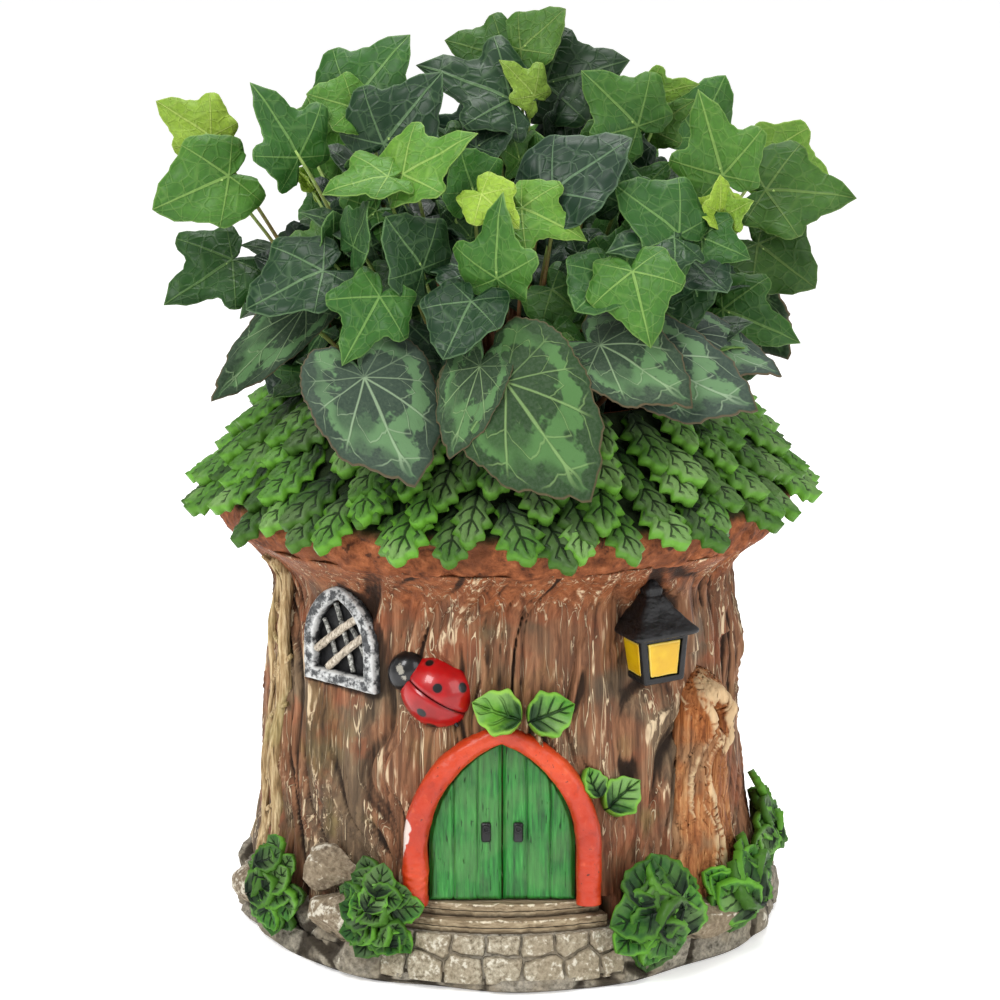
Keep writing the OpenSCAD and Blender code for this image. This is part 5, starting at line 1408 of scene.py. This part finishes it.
def ivy_finish():
    f = Finish("ivy_leaf", 0.45, 0.22)
    across, length, _ = f.axes(f.uv())
    x, y = abs(across * 2 - 1.0), (length - 0.5) * 2.5
    age, shade, rim = f.mark("age"), f.mark("shade"), f.mark("rim")
    net = f.cells(13, f.uv(), "DISTANCE_TO_EDGE")
    grain = f.noise(700, 3, 0.6)
    cloud = f.noise(60, 3, 0.5)
    body = f.ramp(age + (cloud - 0.5) * 0.25, (0.0, (136, 166, 50)), (0.28, (78, 124, 40)),
                  (0.5, (44, 88, 30)), (0.75, (28, 58, 28)), (1.0, (24, 44, 32)))
    pale = f.ramp(age, (0.0, (172, 192, 96)), (0.5, (112, 150, 78)), (1.0, (96, 124, 92)))
    angle = f.sum("ARCTAN2", x, y)
    lines = None
    for turn in (0, 56, 118):
        off = abs(f.sum("SINE", angle - radians(turn), 0.0)) * rim
        ahead = f.sum("COSINE", angle - radians(turn), 0.0)
        width = 0.024 - rim * 0.019
        vein = f.between(off - width, 0.008, -0.002) * f.between(ahead, 0.0, 0.1)
        twig = abs(f.sum("FRACT", rim * 4.5 - abs(angle - radians(turn)) * 1.7 + 3.0, 0.0) - 0.5)
        twig = f.between(twig, 0.05, 0.015) * f.between(abs(angle - radians(turn)), 0.5, 0.3) * 0.4
        both = f.sum("MAXIMUM", vein, twig)
        lines = both if lines is None else f.sum("MAXIMUM", lines, both)
    paint = f.coat(body, (24, 50, 24), grain, 0.3, 0.7, 0.25)
    paint = f.coat(paint, pale, net, 0.06, 0.0, 0.16)
    paint = f.mix(lines * 0.55, paint, pale)
    paint = f.coat(paint, pale, rim, 0.965, 1.0, 0.45)
    paint = f.coat(paint, (10, 24, 12), shade, 0.0, 1.0, 0.75)
    return f.done(paint, lines * 0.6 + f.between(net, 0.12, 0.0) * 0.3 + cloud * 0.3, 0.0006,
                  roughness=f.between(age, 0.0, 1.0, 0.55, 0.4))


def cyclamen_finish():
    f = Finish("cyclamen_leaf", 0.6, 0.18)
    across, length, _ = f.axes(f.uv())
    x, y = abs(across * 2 - 1.0), (length - 0.5) * 2.5
    age, rim = f.mark("age"), f.mark("rim")
    blot = f.noise(6.5, 4, 0.65, on=f.uv())
    curl = f.noise(4.0, 2, 0.5, on=f.uv())
    islands = f.cells(11, f.uv(), "F1")
    fine = f.noise(900, 3, 0.6)
    dark = f.ramp(age, (0.0, (30, 56, 22)), (0.5, (36, 54, 36)), (1.0, (46, 60, 54)))
    light = f.ramp(age, (0.0, (70, 108, 56)), (1.0, (94, 126, 88)))
    ring = rim + (blot - 0.5) * 1.1
    band = f.between(ring, 0.48, 0.55) * f.between(ring, 0.84, 0.77)
    band *= f.between(islands + (blot - 0.5) * 0.5, 0.26, 0.34)
    paint = f.coat(dark, (74, 88, 70), fine, 0.35, 0.7, 0.3)
    paint = f.mix(band * (0.3 + 0.7 * f.between(curl, 0.4, 0.5)) * 0.85, paint, light)
    pale = f.ramp(age, (0.0, (116, 146, 84)), (1.0, (142, 162, 136)))
    angle = f.sum("ARCTAN2", x, y) + (curl - 0.5) * 0.35 * rim
    way = angle / 0.58
    place = way - f.sum("ROUND", way, 0.0)
    off = abs(place) * 0.58 * rim
    vein = f.between(off, 0.018, 0.006) * f.between(rim, 0.95, 0.7)
    fork = abs(f.sum("FRACT", rim * 3.3 - abs(place) * 1.5 + 3.0, 0.0) - 0.5)
    fork = f.between(fork * 0.3, 0.016, 0.004) * f.between(rim, 0.3, 0.5) * f.between(rim, 0.98, 0.86)
    lines = f.sum("MAXIMUM", vein * f.between(angle, 2.4, 0.4, 0.35, 1.0), fork * 0.7)
    paint = f.mix(lines * 0.65, paint, pale)
    paint = f.coat(paint, (92, 76, 54), rim, 0.975, 0.995, 0.7)
    return f.done(paint, lines * 0.5 + blot * 0.4 + fine * 0.15, 0.0008)


def stem_finish():
    f = Finish("stem_skin", 0.5, 0.4)
    grain = f.noise(500, 3, 0.6)
    paint = f.ramp(f.mark("t") + (grain - 0.5) * 0.5, (0.1, (104, 62, 44)), (0.5, (126, 88, 56)),
                   (0.8, (112, 128, 62)), (1.0, (134, 164, 82)))
    return f.done(paint, grain, 0.0004)


def plant(rows, templates, seed, stem_r, bend, wides=None, placed=999):
    """The leaves and the stems of rows, as two meshes; leaves after the placed ones roll more."""
    chance = Random(seed)
    leaves, stems = [], []
    blanks = [(bm, parts_of(bm)) for bm in templates]
    for i, (x, y, h, length, heading, lean, age) in enumerate(rows):
        foot = Vector((x, y, COMPOST_Z + h))
        loose = 1 if i < placed else 2.2
        tip, roll = chance.uniform(-0.35, 0.7) * loose, chance.uniform(-0.5, 0.5) * loose
        across, way, upper = leaf_frame(heading, lean, tip, roll)
        bm, blank = blanks[i % len(blanks)]
        wide, tuck = chance.uniform(0.92, 1.08) * (wides[i] if wides else 1), chance.uniform(-0.25, 0.12)

        def place(p):
            z = p.z + tuck * p.y * p.y
            return (foot + (across * p.x * wide + way * (p.y - 0.1) + upper * z) * length) * MM

        stamp(bm, blank, place, age=clamp(age + chance.uniform(-0.1, 0.1)),
              shade=clamp(0.32 + (y + 60) / 80 - h / 260))
        low = Vector((bend[0] * x, bend[1] * y, COMPOST_Z - 3))
        mid = Vector((0.7 * x, 0.66 * y, COMPOST_Z + 0.6 * h + chance.uniform(-4, 4)))

        def line(t):
            return (low * (1 - t) ** 2 + mid * 2 * t * (1 - t) + foot * t * t) * MM

        stems.append(tube(line, lambda t, a: stem_r * (1.25 - 0.55 * t), 7, 12, ("t",)))
    for bm, blank in blanks:
        bmesh.ops.delete(bm, geom=blank, context="VERTS")
        leaves.append(bm)
    return joined(leaves), joined(stems)


def leafy(name, leaves, finish, replaces, thick):
    wall(piece(name, leaves, finish, replaces, body="planting"), thick, 0)


def make_planting():
    ivy, cyclamen, stem = ivy_finish(), cyclamen_finish(), stem_finish()
    chance = Random(31)
    fill = []
    for i in range(190):
        a = chance.uniform(0, 2 * pi)
        reach = sqrt(chance.uniform(0.02, 1))
        x, y = 88 * reach * cos(a), 78 * reach * sin(a)
        if y > 25:
            continue
        top = 122 * sqrt(max(0.05, 1 - (reach * 0.84) ** 2))
        h = chance.uniform(0.2, 0.93) * top
        out = degrees(atan2(h - 60, x)) + chance.uniform(-70, 70)
        length, lean = chance.uniform(17, 29), chance.uniform(0.1, 0.9)
        fill.append((x, y, h, length, out, lean, chance.choice((0.4, 0.5, 0.65, 0.8, 0.95, 1.0))))

    behind = [row for row in list(IVY) + fill if row[1] < -30]
    beside = [row for row in fill if row[1] < -38 and abs(row[0]) < 46 and row[2] < 100]
    for tag, rows, seed, placed, turn, replaced in (
            ("", list(IVY) + fill, 3, len(IVY), 0, ("ivy_front",)),
            ("_back", behind, 8, 999, 176, ("ivy_back",)),
            ("_right", beside, 100, 999, 88, ()), ("_left", beside, -74, 999, -86, ())):
        shapes = [fresh_leaf(keys, 64, 4, 0.16, 0.03, 0.1) for keys in IVY_SHAPES]
        leaves, stems = plant(rows, shapes, seed, 0.85, (0.45, 0.42), None, placed)
        for bm in (leaves, stems):
            move(bm, about("Z", turn))
        leafy("ivy_leaves" + tag, leaves, ivy, replaced, 0.0005)
        piece("ivy_stems" + tag, stems, stem, body="planting")

    def hearts():
        return [fresh_leaf(HEART, 120, 14, 0.1, 0.018, 0.1, 0.012)]

    leaves, stems = plant(CYCLAMEN, hearts(), 5, 1.1, (0.5, 0.5), (1, 0.6, 1, 0.95, 0.85, 0.7, 0.42))
    rear, rear_stems = plant([CYCLAMEN[i] for i in (1, 4, 6)], hearts(), 6, 1.1, (0.5, 0.5))
    for bm in (rear, rear_stems):
        move(bm, about("Z", 168))
    leafy("cyclamen_leaves", joined([leaves, rear]), cyclamen, ("cyclamen",), 0.0007)
    piece("cyclamen_stems", joined([stems, rear_stems]), stem, body="planting")


# Camera, light and floor

def make_stage():
    world = bpy.data.worlds.new("studio")
    bpy.context.scene.world = world
    world.use_nodes = True
    colour, strength = world.node_tree.nodes["Background"].inputs[:2]
    colour.default_value, strength.default_value = (1, 1, 1, 1), 0.72
    bm = bmesh.new()
    bmesh.ops.create_grid(bm, x_segments=1, y_segments=1, size=40.0)
    mesh = bpy.data.meshes.new("floor")
    bm.to_mesh(mesh)
    bm.free()
    floor = bpy.data.objects.new("floor", mesh)
    f = Finish("floor_paint", 0.9, 0.1, emission_color=(1, 1, 1, 1), emission_strength=0.34)
    mesh.materials.append(f.done(f.mix(f.noise(3), (0.92, 0.92, 0.92, 1), (0.95, 0.95, 0.95, 1))))
    link(floor)
    for name, place, size, power in (("key", (-0.75, -1.05, 1.25), 0.6, 19),
                                     ("fill", (1.1, -0.9, 0.7), 0.9, 8), ("top", (0.1, 0.3, 1.5), 0.8, 15)):
        light = bpy.data.lights.new(name, "AREA")
        light.size, light.energy = size, power
        lamp = bpy.data.objects.new(name, light)
        lamp.location = place
        lamp.rotation_euler = (Vector((0, 0, 0.17)) - Vector(place)).to_track_quat("-Z", "Y").to_euler()
        link(lamp)
    camera = bpy.data.objects.new("camera", bpy.data.cameras.new("camera"))
    camera.location = (-0.0008, -1.0, 0.3867)
    camera.rotation_euler = (radians(90 - SIGHT_DOWN), 0, 0)
    camera.data.lens, camera.data.sensor_width = 92.7, 36
    link(camera)
    bpy.context.scene.camera = camera
    bpy.context.scene.view_settings.view_transform = "Standard"


make_stage()
make_trunk()
make_stub()
make_vine()
make_eave()
make_roof_leaves()
make_plinth()
make_cobbles()
make_steps()
make_rocks()
make_door()
make_handles()
make_arch()
make_window()
make_ladybird()
make_lantern()
make_moss_leaves()
make_compost()
make_planting()
